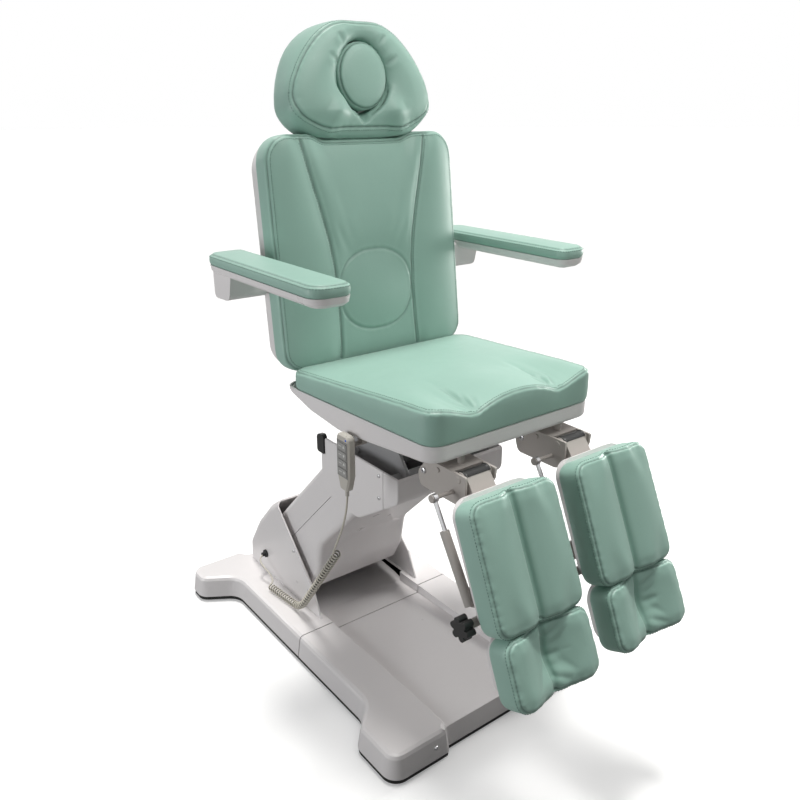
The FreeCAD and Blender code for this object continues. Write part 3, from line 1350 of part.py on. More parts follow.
# Carry the seat and all it holds to the end of the lift arm
arm_end = on_arm(0, ARM_LENGTH)
for name, shape in nodes.items():
    if name not in below_seat:
        shape.translate(vec(0, arm_end[0] - PIVOT_Y, arm_end[1] - PIVOT_Z))

# Move the bed so its middle stands over the origin and write the pieces
whole = Part.makeCompound(list(nodes.values())).BoundBox
shift_y = -0.5 * (whole.YMin + whole.YMax)
nodes.update(nodes_cord)
for name, shape in nodes.items():
    shape.translate(vec(0, shift_y, 0))
    shape.exportStep("parts/" + name + ".step")
print("shift", round(shift_y, 4))
print("size", round(whole.XLength, 1), round(whole.YLength, 1), round(whole.ZLength, 1))
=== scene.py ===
import json
import math
import bpy
import numpy as np
from mathutils import Matrix, Vector
from mathutils.bvhtree import BVHTree


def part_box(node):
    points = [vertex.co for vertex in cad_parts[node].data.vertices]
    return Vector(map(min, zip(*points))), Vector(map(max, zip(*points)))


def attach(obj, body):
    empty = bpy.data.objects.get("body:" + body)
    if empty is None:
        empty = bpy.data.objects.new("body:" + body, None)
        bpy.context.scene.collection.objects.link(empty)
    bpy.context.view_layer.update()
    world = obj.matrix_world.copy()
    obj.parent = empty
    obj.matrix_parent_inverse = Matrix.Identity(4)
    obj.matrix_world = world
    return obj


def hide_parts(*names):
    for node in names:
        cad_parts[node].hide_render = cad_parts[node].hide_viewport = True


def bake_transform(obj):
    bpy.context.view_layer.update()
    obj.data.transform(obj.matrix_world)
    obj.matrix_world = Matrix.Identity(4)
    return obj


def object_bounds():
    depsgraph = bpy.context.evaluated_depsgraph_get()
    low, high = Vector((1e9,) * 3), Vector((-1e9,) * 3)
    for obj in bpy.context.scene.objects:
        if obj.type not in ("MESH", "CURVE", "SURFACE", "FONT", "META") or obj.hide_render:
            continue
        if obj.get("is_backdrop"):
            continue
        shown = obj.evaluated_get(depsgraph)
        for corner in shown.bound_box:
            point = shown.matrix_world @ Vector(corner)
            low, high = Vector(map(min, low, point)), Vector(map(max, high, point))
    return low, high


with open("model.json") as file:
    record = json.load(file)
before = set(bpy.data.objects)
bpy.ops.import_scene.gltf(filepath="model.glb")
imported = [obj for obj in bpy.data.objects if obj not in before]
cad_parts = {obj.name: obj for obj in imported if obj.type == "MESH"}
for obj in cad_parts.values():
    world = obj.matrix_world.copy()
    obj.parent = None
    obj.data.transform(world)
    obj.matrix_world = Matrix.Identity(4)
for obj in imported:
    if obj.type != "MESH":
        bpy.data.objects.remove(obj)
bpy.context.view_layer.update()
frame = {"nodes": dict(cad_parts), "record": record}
scene = bpy.context.scene
scene.view_settings.view_transform = "Standard"

# Units of the pads: millimetres, with y counted from the seat's front edge

MM = 0.001
SEAT_FRONT_Y = -393.0088


# Placing of objects

def object_of(name, data):
    made = bpy.data.objects.new(name, data)
    scene.collection.objects.link(made)
    return made


def aimed(thing, at, ahead):
    """Stands a camera or lamp at a place, looking along a direction."""
    thing.location = at
    thing.rotation_mode = "QUATERNION"
    thing.rotation_quaternion = ahead.to_track_quat("-Z", "Y")


# Camera at the photograph's angle

CAM_AT = (-1.2202, -1.5572, 1.5555)
CAM_TURN = math.radians(37.23)
CAM_DOWN = math.radians(20.44)
CAM_LENS = 35.55
CAM_NEAR, CAM_FAR = 0.05, 60.0
cam_data = bpy.data.cameras.new("camera")
cam_data.lens = CAM_LENS
cam_data.clip_start = CAM_NEAR
cam_data.clip_end = CAM_FAR
level = math.cos(CAM_DOWN)
ahead = Vector((math.sin(CAM_TURN) * level, math.cos(CAM_TURN) * level, -math.sin(CAM_DOWN)))
scene.camera = object_of("camera", cam_data)
aimed(scene.camera, CAM_AT, ahead)


# Material helpers

def new_material(name, color, rough, metallic=0.0):
    made = bpy.data.materials.new(name)
    made.use_nodes = True
    tree = made.node_tree
    shader = tree.nodes["Principled BSDF"]
    shader.inputs["Base Color"].default_value = (*color, 1)
    shader.inputs["Roughness"].default_value = rough
    shader.inputs["Metallic"].default_value = metallic
    return made, tree, shader


def add(tree, kind, **values):
    """A new node, with its inputs or its own settings given by name."""
    node = tree.nodes.new(kind)
    for key, value in values.items():
        if key in node.inputs:
            node.inputs[key].default_value = value
        else:
            setattr(node, key, value)
    return node


def place_of(tree):
    return add(tree, "ShaderNodeTexCoord").outputs["Object"]


def noise(tree, scale, detail=3.0):
    node = add(tree, "ShaderNodeTexNoise", Scale=scale, Detail=detail)
    tree.links.new(place_of(tree), node.inputs["Vector"])
    return node.outputs["Fac"]


def ramp(tree, value, low, high):
    node = add(tree, "ShaderNodeMapRange")
    node.inputs["To Min"].default_value = low
    node.inputs["To Max"].default_value = high
    tree.links.new(value, node.inputs["Value"])
    return node.outputs["Result"]


def mix(tree, share, a, b):
    """A blend of two colours, each a tuple or a socket, by the share socket."""
    node = add(tree, "ShaderNodeMix", data_type="RGBA")
    tree.links.new(share, node.inputs[0])
    for socket, value in ((node.inputs[6], a), (node.inputs[7], b)):
        if isinstance(value, tuple):
            socket.default_value = (*value, 1)
        else:
            tree.links.new(value, socket)
    return node.outputs[2]


def bumps(tree, shader, layers, start=None):
    """Bump layers of (height, strength, distance), one over the other."""
    last = start
    for height, strength, distance in layers:
        node = add(tree, "ShaderNodeBump", Strength=strength, Distance=distance)
        tree.links.new(height, node.inputs["Height"])
        if last is not None:
            tree.links.new(last, node.inputs["Normal"])
        last = node.outputs["Normal"]
    tree.links.new(last, shader.inputs["Normal"])


def soft_edges(tree, radius):
    return add(tree, "ShaderNodeBevel", Radius=radius, samples=4).outputs["Normal"]


def point_value(tree, name):
    return add(tree, "ShaderNodeAttribute", attribute_name=name).outputs["Fac"]


def shade(color, factor):
    return tuple(min(1.0, c * factor) for c in color)


# Materials

def leatherette(name, color):
    """Soft vinyl with pores and faint clouds, with painted shade where the cover is drawn in at seams and
    folds.
    """
    made, tree, shader = new_material(name, color, 0.42)
    cloud = mix(tree, noise(tree, 7.0), shade(color, 0.92), shade(color, 1.07))
    fine = mix(tree, ramp(tree, noise(tree, 260.0), 0.0, 0.35), cloud, shade(color, 0.86))
    # Painted shade: the leather darkens to three tenths of its colour where the crease mask is high, along
    # seams and folds
    crease_shade = mix(tree, ramp(tree, point_value(tree, "crease"), 0.0, 0.8), fine, shade(color, 0.3))
    tree.links.new(crease_shade, shader.inputs["Base Color"])
    tree.links.new(ramp(tree, noise(tree, 34.0), 0.36, 0.52), shader.inputs["Roughness"])
    for key, value in (("Sheen Weight", 0.12), ("Sheen Roughness", 0.5), ("Specular IOR Level", 0.42)):
        shader.inputs[key].default_value = value
    grain = add(tree, "ShaderNodeTexVoronoi", Scale=420.0)
    tree.links.new(place_of(tree), grain.inputs["Vector"])
    pores = ramp(tree, grain.outputs["Distance"], 0.0, 1.0)
    bumps(tree, shader, [(pores, 0.10, 0.0006), (noise(tree, 24.0, 4.0), 0.10, 0.004)])
    return made


def moulded(name, color, rough, grain=900.0, depth=0.06, edge=0.0015, painted_shade=0.0):
    """Plastic, paint or rubber with a fine grain; the last argument sets how far painted shade darkens
    points marked as shaded.
    """
    made, tree, shader = new_material(name, color, rough)
    cloud = mix(tree, noise(tree, 5.0), shade(color, 0.965), shade(color, 1.03))
    whole = mix(tree, ramp(tree, noise(tree, 60.0, 5.0), 0.0, 0.25), cloud, shade(color, 0.95))
    # Painted shade: the colour falls towards an eighth of itself where points are marked as shaded
    if painted_shade:
        whole = mix(tree, ramp(tree, point_value(tree, "shaded_share"), 0.0, painted_shade), whole, shade(color, 0.12))
    tree.links.new(whole, shader.inputs["Base Color"])
    uneven = ramp(tree, noise(tree, 14.0), rough - 0.07, rough + 0.09)
    tree.links.new(uneven, shader.inputs["Roughness"])
    bumps(tree, shader, [(noise(tree, grain, 2.0), depth, 0.0004)], soft_edges(tree, edge))
    return made


def metal(name, color, rough):
    """Steel with fine brushed lines."""
    made, tree, shader = new_material(name, color, rough, 1.0)
    stretch = add(tree, "ShaderNodeMapping")
    stretch.inputs["Scale"].default_value = (18.0, 420.0, 420.0)
    tree.links.new(place_of(tree), stretch.inputs["Vector"])
    brush = add(tree, "ShaderNodeTexNoise", Scale=3.0, Detail=4.0)
    tree.links.new(stretch.outputs["Vector"], brush.inputs["Vector"])
    lines = brush.outputs["Fac"]
    tree.links.new(mix(tree, lines, shade(color, 0.9), shade(color, 1.06)), shader.inputs["Base Color"])
    tree.links.new(ramp(tree, lines, rough - 0.08, rough + 0.12), shader.inputs["Roughness"])
    bumps(tree, shader, [(lines, 0.05, 0.0005)], soft_edges(tree, 0.0008))
    return made


MINT = (0.305, 0.487, 0.415)
WHITE = (0.77, 0.745, 0.745)
mat_leather = leatherette("mint_leatherette", MINT)
mat_thread = moulded("mint_thread", shade(MINT, 0.5), 0.6, grain=2500.0, depth=0.2)
mat_white = moulded("white_moulding", WHITE, 0.3)
mat_black = moulded("black_plate", (0.012, 0.012, 0.012), 0.5)
mat_knob = moulded("black_moulding", (0.014, 0.014, 0.014), 0.36, grain=500.0, depth=0.15)
mat_rubber = moulded("rubber", (0.02, 0.02, 0.02), 0.7, grain=600.0, depth=0.3)
mat_grey = moulded("grey_paint", (0.32, 0.32, 0.325), 0.4, grain=700.0, depth=0.12)
mat_cream = moulded("cream_paint", (0.43, 0.40, 0.375), 0.36, grain=800.0, depth=0.1)
mat_steel = metal("bright_steel", (0.62, 0.62, 0.63), 0.28)
mat_case = moulded("handset_case", (0.50, 0.475, 0.43), 0.42, grain=700.0, depth=0.15)
mat_face = moulded("handset_face", (0.24, 0.235, 0.225), 0.5, depth=0.2, edge=0.0005)
mat_key = moulded("handset_key", (0.30, 0.295, 0.285), 0.5, depth=0.2, edge=0.0006)
mat_mark = moulded("key_mark", (0.62, 0.62, 0.60), 0.5, depth=0.1, edge=0.0002)
mat_lamp = moulded("blue_lamp", (0.03, 0.10, 0.55), 0.25, depth=0.05, edge=0.0002)
# The cord sheath gets painted shade on the inner side of its coil
mat_cord = moulded("cord_sheath", (0.53, 0.50, 0.43), 0.4, grain=1200.0, depth=0.1, edge=0.0003, painted_shade=0.95)

SLOT_LOOKS = {
    "upholstery": mat_leather, "white_plastic": mat_white, "black_plastic": mat_knob, "rubber": mat_rubber,
    "black_steel": mat_black, "grey_steel": mat_grey, "cream_steel": mat_cream, "bright_steel": mat_steel,
    "handset_plastic": mat_case, "key_rubber": mat_key, "cord": mat_cord,
}


def dress(mesh, material):
    mesh.materials.clear()
    mesh.materials.append(material)


for row in frame["record"]["subparts"]:
    dress(frame["nodes"][row["node"]].data, SLOT_LOOKS[row["material_slot"]])
dress(frame["nodes"]["cord_gland"].data, mat_rubber)


# Number helpers

def share_of(low, high, value):
    return np.clip((value - low) / (high - low), 0, 1)


def smooth(low, high, value):
    t = share_of(low, high, value)
    return t * t * (3 - 2 * t)


def bell(offset, width):
    return np.exp(-(offset / width) ** 2)


def run_of(line):
    """The length along a line up to each of its points."""
    parts = np.linalg.norm(np.diff(np.array(line), axis=0), axis=1)
    return np.concatenate([[0], np.cumsum(parts)])


def spaced(points, step, closed=False):
    """Points at an even spacing along a line."""
    pts = np.array(points, float)
    if closed:
        pts = np.vstack([pts, pts[:1]])
    along = run_of(pts)
    count = max(2, int(round(along[-1] / step)) + 1)
    at = np.linspace(0, along[-1], count)
    out = np.stack([np.interp(at, along, pts[:, k]) for k in range(pts.shape[1])], axis=1)
    return out[:-1] if closed else out


def circle(middle, first, second, radius, sides):
    """Points round a circle that lies along two directions."""
    turns = [2 * math.pi * k / sides for k in range(sides)]
    return [middle + radius * (first * math.cos(a) + second * math.sin(a)) for a in turns]


# Mesh helpers

def object_from(name, verts, faces, material=None, round_faces=True):
    mesh = bpy.data.meshes.new(name)
    mesh.from_pydata([tuple(v) for v in verts], [], faces)
    mesh.update()
    mesh.polygons.foreach_set("use_smooth", [round_faces] * len(mesh.polygons))
    if material is not None:
        mesh.materials.append(material)
    return object_of(name, mesh)


def evaluated(thing):
    graph = bpy.context.evaluated_depsgraph_get()
    graph.update()
    return bpy.data.meshes.new_from_object(thing.evaluated_get(graph), depsgraph=graph)


def discard(thing):
    mesh = thing.data
    bpy.data.objects.remove(thing)
    bpy.data.meshes.remove(mesh)


def values_of(items, key, wide, kind=float):
    out = np.zeros(len(items) * wide, dtype=kind)
    items.foreach_get(key, out)
    return out.reshape(-1, wide)


def coords(mesh):
    return values_of(mesh.vertices, "co", 3)


def set_coords(mesh, co):
    mesh.vertices.foreach_set("co", np.asarray(co, dtype=np.float32).ravel())
    mesh.update()


def set_point_value(mesh, name, values):
    layer = mesh.attributes.new(name, "FLOAT", "POINT")
    layer.data.foreach_set("value", values.astype(np.float32))


def eased(mesh, times):
    """Moves every point half way to the middle of its neighbours, several times."""
    co = coords(mesh)
    pairs = values_of(mesh.edges, "vertices", 2, np.int64)
    count = np.bincount(pairs.ravel(), minlength=len(co))[:, None]
    for _ in range(times):
        total = np.zeros_like(co)
        np.add.at(total, pairs[:, 0], co[pairs[:, 1]])
        np.add.at(total, pairs[:, 1], co[pairs[:, 0]])
        co = co + 0.5 * (total / np.maximum(count, 1) - co)
    set_coords(mesh, co)


def ring_faces(rows, sides, first=0):
    """Quads between successive rings of points, and a face over each end."""
    faces = []
    for r in range(rows - 1):
        low, high = first + r * sides, first + (r + 1) * sides
        for k in range(sides):
            n = (k + 1) % sides
            faces.append((low + k, low + n, high + n, high + k))
    last = first + (rows - 1) * sides
    faces.append(tuple(first + k for k in reversed(range(sides))))
    faces.append(tuple(last + k for k in range(sides)))
    return faces


def sheet(upper, under):
    """Points and faces of a closed sheet between two grids of points."""
    rows, wide = upper.shape[:2]
    verts = np.vstack([upper.reshape(-1, 3), under.reshape(-1, 3)])
    below = rows * wide
    faces = []
    for j in range(rows - 1):
        for i in range(wide - 1):
            a, d = j * wide + i, (j + 1) * wide + i
            faces.append((a, a + 1, d + 1, d))
            faces.append((d + below, d + 1 + below, a + 1 + below, a + below))
    edge = list(range(wide))
    edge += [j * wide + wide - 1 for j in range(1, rows)]
    edge += [(rows - 1) * wide + i for i in range(wide - 2, -1, -1)]
    edge += [j * wide for j in range(rows - 2, 0, -1)]
    for p, q in zip(edge, edge[1:] + edge[:1]):
        faces.append((q, p, p + below, q + below))
    return verts, faces


# Outlines and plain forms of the pads, in millimetres

ARC_STEPS = 9
RUN_STEPS = 12
LEAST_RADIUS = 0.5


def ring(points, radii, inset):
    """A closed outline with rounded corners, moved inwards; every inset gives as many points."""
    count = len(points)
    pts = [np.array(p, float) for p in points]
    lines = []
    for i in range(count):
        way = pts[(i + 1) % count] - pts[i]
        way /= np.linalg.norm(way)
        lines.append((pts[i] + inset * np.array((-way[1], way[0])), way))
    corners = []
    for i in range(count):
        (p, a), (q, b) = lines[i - 1], lines[i]
        cross = a[0] * b[1] - a[1] * b[0]
        corner = p + a * (((q[0] - p[0]) * b[1] - (q[1] - p[1]) * b[0]) / cross)
        turn = math.atan2(cross, float(a @ b))
        side = math.copysign(1, turn)
        radius = max(radii[i] - inset * side, LEAST_RADIUS)
        reach = radius * math.tan(abs(turn) / 2)
        centre = corner - a * reach + radius * side * np.array((-a[1], a[0]))
        first = math.atan2(*(corner - a * reach - centre)[::-1])
        turns = [first + turn * k / ARC_STEPS for k in range(ARC_STEPS + 1)]
        corners.append([centre + radius * np.array((math.cos(t), math.sin(t))) for t in turns])
    out = []
    for i in range(count):
        out.extend(corners[i])
        start, end = corners[i][-1], corners[(i + 1) % count][0]
        out.extend(start + (end - start) * k / (RUN_STEPS + 1) for k in range(1, RUN_STEPS + 1))
    return np.array(out)


def outline_of(points, radii):
    """The outline as a function of its inset."""
    return lambda inset: ring(points, radii, inset)


def level_only(u, v, level):
    return level


def lofted(name, outline, levels, lift=level_only):
    """Rings at each (inset, level), closed at both ends; lift turns (u, v, level) into a height."""
    verts = []
    for inset, level in levels:
        loop = outline(inset)
        verts.extend((u, v, lift(u, v, level)) for u, v in loop)
    return object_from(name, np.array(verts) * MM, ring_faces(len(levels), len(loop)))


def remeshed(rough, voxel, times):
    """An even mesh of a rough form, a little smoothed."""
    change = rough.modifiers.new("voxels", "REMESH")
    change.mode = "VOXEL"
    change.voxel_size = voxel
    mesh = evaluated(rough)
    discard(rough)
    eased(mesh, times)
    return mesh


def to_line(points, height):
    """Points (u, v) in millimetres, with a height or a function for it, in metres."""
    return np.array([(u, v, height(u, v) if callable(height) else height) for u, v in points]) * MM


def local(origin_y, origin_z, lean, x=0.0):
    """Local u, v, n to the model: u along X, v up the lean, n out of the front."""
    c, s = math.cos(math.radians(lean)), math.sin(math.radians(lean))
    return Matrix((
        (1, 0, 0, x * MM),
        (0, s, -c, (origin_y + SEAT_FRONT_Y) * MM),
        (0, c, s, origin_z * MM),
        (0, 0, 0, 1),
    ))


FLAT = Matrix.Translation((0, SEAT_FRONT_Y * MM, 0))
BACK_Y, BACK_Z, BACK_LEAN = 575.0, 885.0, 6.5
BACK = local(BACK_Y, BACK_Z, BACK_LEAN)


# Stuffing of the pads

NEAR_REACH = 0.06
NEAR_BATCH = 4000
PIN_STEPS = 10
PUFF_FRAMES = 20
PUFF = 4.0


def nearest(co, line):
    """Each point's distance to a line, and the line's nearest point, for points not far off."""
    best = np.full(len(co), 1e9)
    where = np.zeros(len(co), dtype=int)
    low, high = line.min(0) - NEAR_REACH, line.max(0) + NEAR_REACH
    near = np.nonzero(np.all((co > low) & (co < high), axis=1))[0]
    for begin in range(0, len(near), NEAR_BATCH):
        part = near[begin:begin + NEAR_BATCH]
        gap = np.linalg.norm(co[part][:, None, :] - line[None, :, :], axis=2)
        where[part] = gap.argmin(1)
        best[part] = gap.min(1)
    return best, where


def held_below(co, low, reach):
    """Full hold at the low level, fading to none over the reach."""
    return np.clip(1 - (co[:, 2] - low) / reach, 0, 1)


def held_along(pins, co, line, strength, width, step=0.006, closed=True):
    """The pins with hold added along a seam."""
    gap, _ = nearest(co * MM, spaced(line, step, closed))
    return np.maximum(pins, strength * bell(gap, width))


def puffed(mesh, pins, pressure, cap):
    """Blows the cover up like a stuffed pad; no point moves further than cap."""
    start = coords(mesh)
    thing = object_of("pad", mesh)
    held = thing.vertex_groups.new(name="held")
    steps = np.round(pins * PIN_STEPS).astype(int)
    for step in range(1, PIN_STEPS + 1):
        held.add(np.nonzero(steps == step)[0].tolist(), step / PIN_STEPS, "REPLACE")
    cloth = thing.modifiers.new("cloth", "CLOTH")
    settings = cloth.settings
    settings.quality = 4
    settings.mass = 0.25
    settings.tension_stiffness = 12
    settings.compression_stiffness = 9
    settings.shear_stiffness = 5
    settings.bending_stiffness = 1.2
    settings.use_pressure = True
    settings.uniform_pressure_force = pressure
    settings.vertex_group_mass = "held"
    settings.effector_weights.gravity = 0
    cloth.collision_settings.use_collision = False
    cloth.point_cache.frame_start = 1
    cloth.point_cache.frame_end = PUFF_FRAMES
    for number in range(1, PUFF_FRAMES + 1):
        scene.frame_set(number)
    blown = evaluated(thing)
    step = coords(blown) - start
    bpy.data.meshes.remove(blown)
    thing.modifiers.remove(cloth)
    bpy.data.objects.remove(thing)
    scene.frame_set(1)
    far = np.linalg.norm(step, axis=1, keepdims=True)
    set_coords(mesh, start + step * np.minimum(1, cap / np.maximum(far, 1e-9)))


def stuffed(mesh, pins, cap, pressure=PUFF):
    """The cover after stuffing, as a finer mesh."""
    puffed(mesh, pins, pressure, cap)
    thing = object_of("pad", mesh)
    change = thing.modifiers.new("subdivide", "SUBSURF")
    change.levels = 1
    made = evaluated(thing)
    discard(thing)
    return made


# Seams, folds and stitches

SEAM_STEP = 0.003
SHOULDER_AT, SHOULDER_WIDE = 2.3, 1.2
PUCKER_STEP = 0.0042
PUCKER_DRIFT = ((2.2, 0.031), (1.3, 0.083))
STITCH_PITCH = 0.0068
STITCH_HALF = 0.0026
STITCH_THICK = 0.0009
STITCH_SIDES = 6
STITCH_ROWS = ((-1.0, -0.7, 0.35), (-0.75, 0.1, 0.9), (0.0, 0.5, 1.0), (0.75, 0.1, 0.9), (1.0, -0.7, 0.35))


def snapped(mesh, line):
    """The nearest points of the cover to a line, with the cover's normals there."""
    corners = [v.co[:] for v in mesh.vertices]
    tree = BVHTree.FromPolygons(corners, [p.vertices[:] for p in mesh.polygons])
    spots, ways = [], []
    for point in line:
        spot, way, _, _ = tree.find_nearest(Vector(point))
        spots.append(spot[:])
        ways.append(way[:])
    return np.array(spots), np.array(ways)


def stitch(verts, faces, spot, along, way):
    """One stitch: a short bowed thread that dips into the cover at both ends."""
    along = along / max(np.linalg.norm(along), 1e-9)
    along = along - way * float(along @ way)
    along /= max(np.linalg.norm(along), 1e-9)
    across = np.cross(way, along)
    faces.extend(ring_faces(len(STITCH_ROWS), STITCH_SIDES, len(verts)))
    for reach, lift, size in STITCH_ROWS:
        middle = spot + along * STITCH_HALF * reach + way * STITCH_THICK * lift
        verts.extend(circle(middle, across, way, STITCH_THICK * size, STITCH_SIDES))


class Cover:
    """A cushion's cover while it is being shaped, in its own local frame in metres."""

    def __init__(self, mesh):
        self.mesh = mesh
        self.crease = np.zeros(len(mesh.vertices))
        self.stitches = []

    def press(self, line, depth, width, shoulder, fading=False, pucker=0.0, crease_shade=1.0):
        """Draws the cover in along a line given in metres on or near it."""
        spots, _ = snapped(self.mesh, line)
        co = coords(self.mesh)
        ways = values_of(self.mesh.vertex_normals, "vector", 3)
        gap, where = nearest(co, spots)
        share = np.ones(len(co))
        if fading:
            t = where / max(1, len(spots) - 1)
            share = np.sin(np.pi * np.clip(t, 0, 1)) ** 0.7
        well = bell(gap, width)
        rise = bell(gap - SHOULDER_AT * width, SHOULDER_WIDE * width)
        move = share * (-depth * well + shoulder * depth * rise)
        if pucker:
            run = run_of(spots)[where]
            drift = sum(far * np.sin(run / long) for far, long in PUCKER_DRIFT)
            wave = np.sin(run / PUCKER_STEP + drift)
            move += share * pucker * wave * bell(gap, 3.2 * width) * (1 - 0.6 * well)
        set_coords(self.mesh, co + ways * move[:, None])
        # Painted shade: the crease mask, which darkens the leather's colour along this line
        self.crease = np.maximum(self.crease, crease_shade * share * bell(gap, 0.8 * width))

    def seam(self, line, depth, width, shoulder, pucker, crease_shade=1.0, closed=True):
        """A sewn seam with small puckers along it."""
        self.press(spaced(line, SEAM_STEP, closed), depth, width, shoulder, pucker=pucker, crease_shade=crease_shade)

    def fold(self, line, depth, width, shoulder, crease_shade):
        """A fold that fades at both ends."""
        self.press(line, depth, width, shoulder, fading=True, crease_shade=crease_shade)

    def sew(self, line, closed=True):
        self.stitches.append((spaced(line, STITCH_PITCH, closed), closed))

    def finish(self, name, body, node, turn):
        """Places the cover in the model, with its stitches as a piece of their own."""
        mesh = self.mesh
        verts, faces = [], []
        for line, closed in self.stitches:
            spots, ways = snapped(mesh, line)
            count = len(spots)
            for i in range(count if closed else count - 1):
                along = spots[(i + 1) % count] - spots[i - 1 if closed or i else i]
                stitch(verts, faces, spots[i], along, ways[i])
        set_point_value(mesh, "crease", self.crease)
        mesh.name = name
        dress(mesh, mat_leather)
        mesh.polygons.foreach_set("use_smooth", [True] * len(mesh.polygons))
        mesh.transform(turn)
        pad = object_of(name, mesh)
        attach(pad, body)
        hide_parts(node)
        if verts:
            thread = object_from(name + "_stitching", verts, faces, mat_thread)
            thread.data.transform(turn)
            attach(thread, body)


# Seat cushion

SEAT_LOW, SEAT_HIGH = 880.4, 962.0
SEAT_FALL, SEAT_LONG = 34.0, 516.0
DIP_X, DIP_OUTER, DIP_DEEP, DIP_LONG = 124.0, 236, 27.0, 240
SEAT_LEVELS = [(6, -0.07), (-1, -0.01), (-6, 0.06), (-7, 0.3), (-6, 0.86), (-4, 0.96), (2, 1.0), (16, 1.01),
               (60, 1.03)]
SEAT_VOXEL = 0.0062
SEAT_FOLDS = ((-26, 60), (-11, 85), (12, 80), (27, 55))
seat_outline = outline_of([(-250, 0), (250, 0), (284, 522), (-284, 522)], [38, 38, 34, 34])


def seat_top(v):
    return SEAT_HIGH - SEAT_FALL * v / SEAT_LONG


def seat_shape(u, v):
    """Two thigh hollows with a rounded pommel between them, fading to the rear."""
    side = np.abs(u)
    inside = np.clip(side / DIP_X, 0, 1) ** 2.2
    outside = 1 - smooth(DIP_X, DIP_OUTER, side)
    hollow = np.where(side < DIP_X, inside, outside) * (1 - smooth(6, DIP_LONG, v))
    crown = 6.0 * (1 - (u / 300) ** 2) * smooth(0, 130, v) * (1 - smooth(420, SEAT_LONG, v))
    return crown - DIP_DEEP * hollow - 3.0 * bell(u, 190) * bell(v - 330, 120)


def seat_height(u, v):
    return seat_top(v) + float(seat_shape(u, v))


def seat_lift(u, v, share):
    return SEAT_LOW + (seat_top(v) - SEAT_LOW) * share


mesh = remeshed(lofted("rough", seat_outline, SEAT_LEVELS, seat_lift), SEAT_VOXEL, 2)
co = coords(mesh) / MM
co[:, 2] += share_of(SEAT_LOW, seat_top(co[:, 1]), co[:, 2]) * seat_shape(co[:, 0], co[:, 1])
set_coords(mesh, co * MM)
rim = to_line(seat_outline(-2), seat_height)
pins = held_along(held_below(co, SEAT_LOW, 14), co, rim, 0.8, 0.007)
seat = Cover(stuffed(mesh, pins, 0.009))
seat.seam(rim, depth=0.0020, width=0.0030, shoulder=0.15, pucker=0.0004)
for side in (-1, 1):
    fold = [(side * DIP_X, v) for v in range(2, 130, 6)]
    seat.fold(to_line(fold, seat_height), depth=0.0035, width=0.006, shoulder=0.2, crease_shade=0.3)
    for tilt, long in SEAT_FOLDS:
        fold = [(side * DIP_X + tilt * (0.25 + v / 70), v) for v in np.linspace(4, long, 14)]
        seat.fold(to_line(fold, seat_height), depth=0.0017, width=0.004, shoulder=0.4, crease_shade=0.2)
seat.sew(to_line(seat_outline(6), lambda u, v: seat_height(u, v) + 3))
seat.finish("seat_pad", "seat", "seat_cushion", FLAT)


# Back cushion

BACK_HALF = [(293, 24), (288, 602), (150, 602), (118, 590)]
BACK_PLAN = [(-293, 24)] + BACK_HALF + [(-u, v) for u, v in reversed(BACK_HALF[1:])]
BACK_RADII = [52, 52, 62, 30, 30, 30, 30, 62]
BACK_REAR, BACK_FRONT = -7.7, 48.0
BACK_LEVELS = [(9, BACK_REAR - 6), (1, BACK_REAR - 1), (-3, BACK_REAR + 4), (-4, BACK_REAR + 20),
               (-4, BACK_FRONT - 12), (-2, BACK_FRONT - 3), (4, BACK_FRONT + 1), (20, BACK_FRONT + 4),
               (50, BACK_FRONT + 6)]
BACK_VOXEL = 0.0062
OVAL_MIDDLE, OVAL_U, OVAL_V, OVAL_POWER = 205.0, 117.0, 106.0, 2.3
SEAM_V = [27, 60, 120, 200, 280, 340, 420, 520, 600]
SEAM_X = [128, 125, 122, 121, 125, 133, 151, 177, 194]
SEAM_POINTS = 120
back_outline = outline_of(BACK_PLAN, BACK_RADII)


def seam_x(v):
    return np.interp(v, SEAM_V, SEAM_X)


def side_line(side, off, low, high):
    """Points up the back beside the middle panel's seam."""
    return [(side * (seam_x(v) + off), v) for v in np.linspace(low, high, SEAM_POINTS)]


def oval(u, v):
    """1 on the lumbar pad's oval edge, less inside it."""
    parts = np.abs(u / OVAL_U) ** OVAL_POWER + np.abs((v - OVAL_MIDDLE) / OVAL_V) ** OVAL_POWER
    return parts ** (1 / OVAL_POWER)


def oval_edge():
    turns = np.linspace(0, 2 * math.pi, SEAM_POINTS, endpoint=False)
    cu, cv = np.cos(turns), np.sin(turns)
    u = OVAL_U * np.copysign(np.abs(cu) ** (2 / OVAL_POWER), cu)
    v = OVAL_MIDDLE + OVAL_V * np.copysign(np.abs(cv) ** (2 / OVAL_POWER), cv)
    return np.stack([u, v], axis=1)


def back_shape(u, v):
    """Raised side bolsters, a hollow middle panel, and the lumbar pad."""
    off = np.abs(u) - seam_x(v)
    out = 7.0 * smooth(0, 42, off) * (1 - smooth(225, 286, np.abs(u)))
    out = out - 5.0 * (1 - smooth(-70, -4, off)) * smooth(120, 360, v)
    out = out + 3.0 * bell(off + 24, 14) * smooth(200, 380, v)
    out = out + 11.0 * np.clip(1 - oval(u, v) ** 2, 0, 1)
    return out - 6.0 * bell(v - 585, 40) * (1 - smooth(120, 200, np.abs(u)))


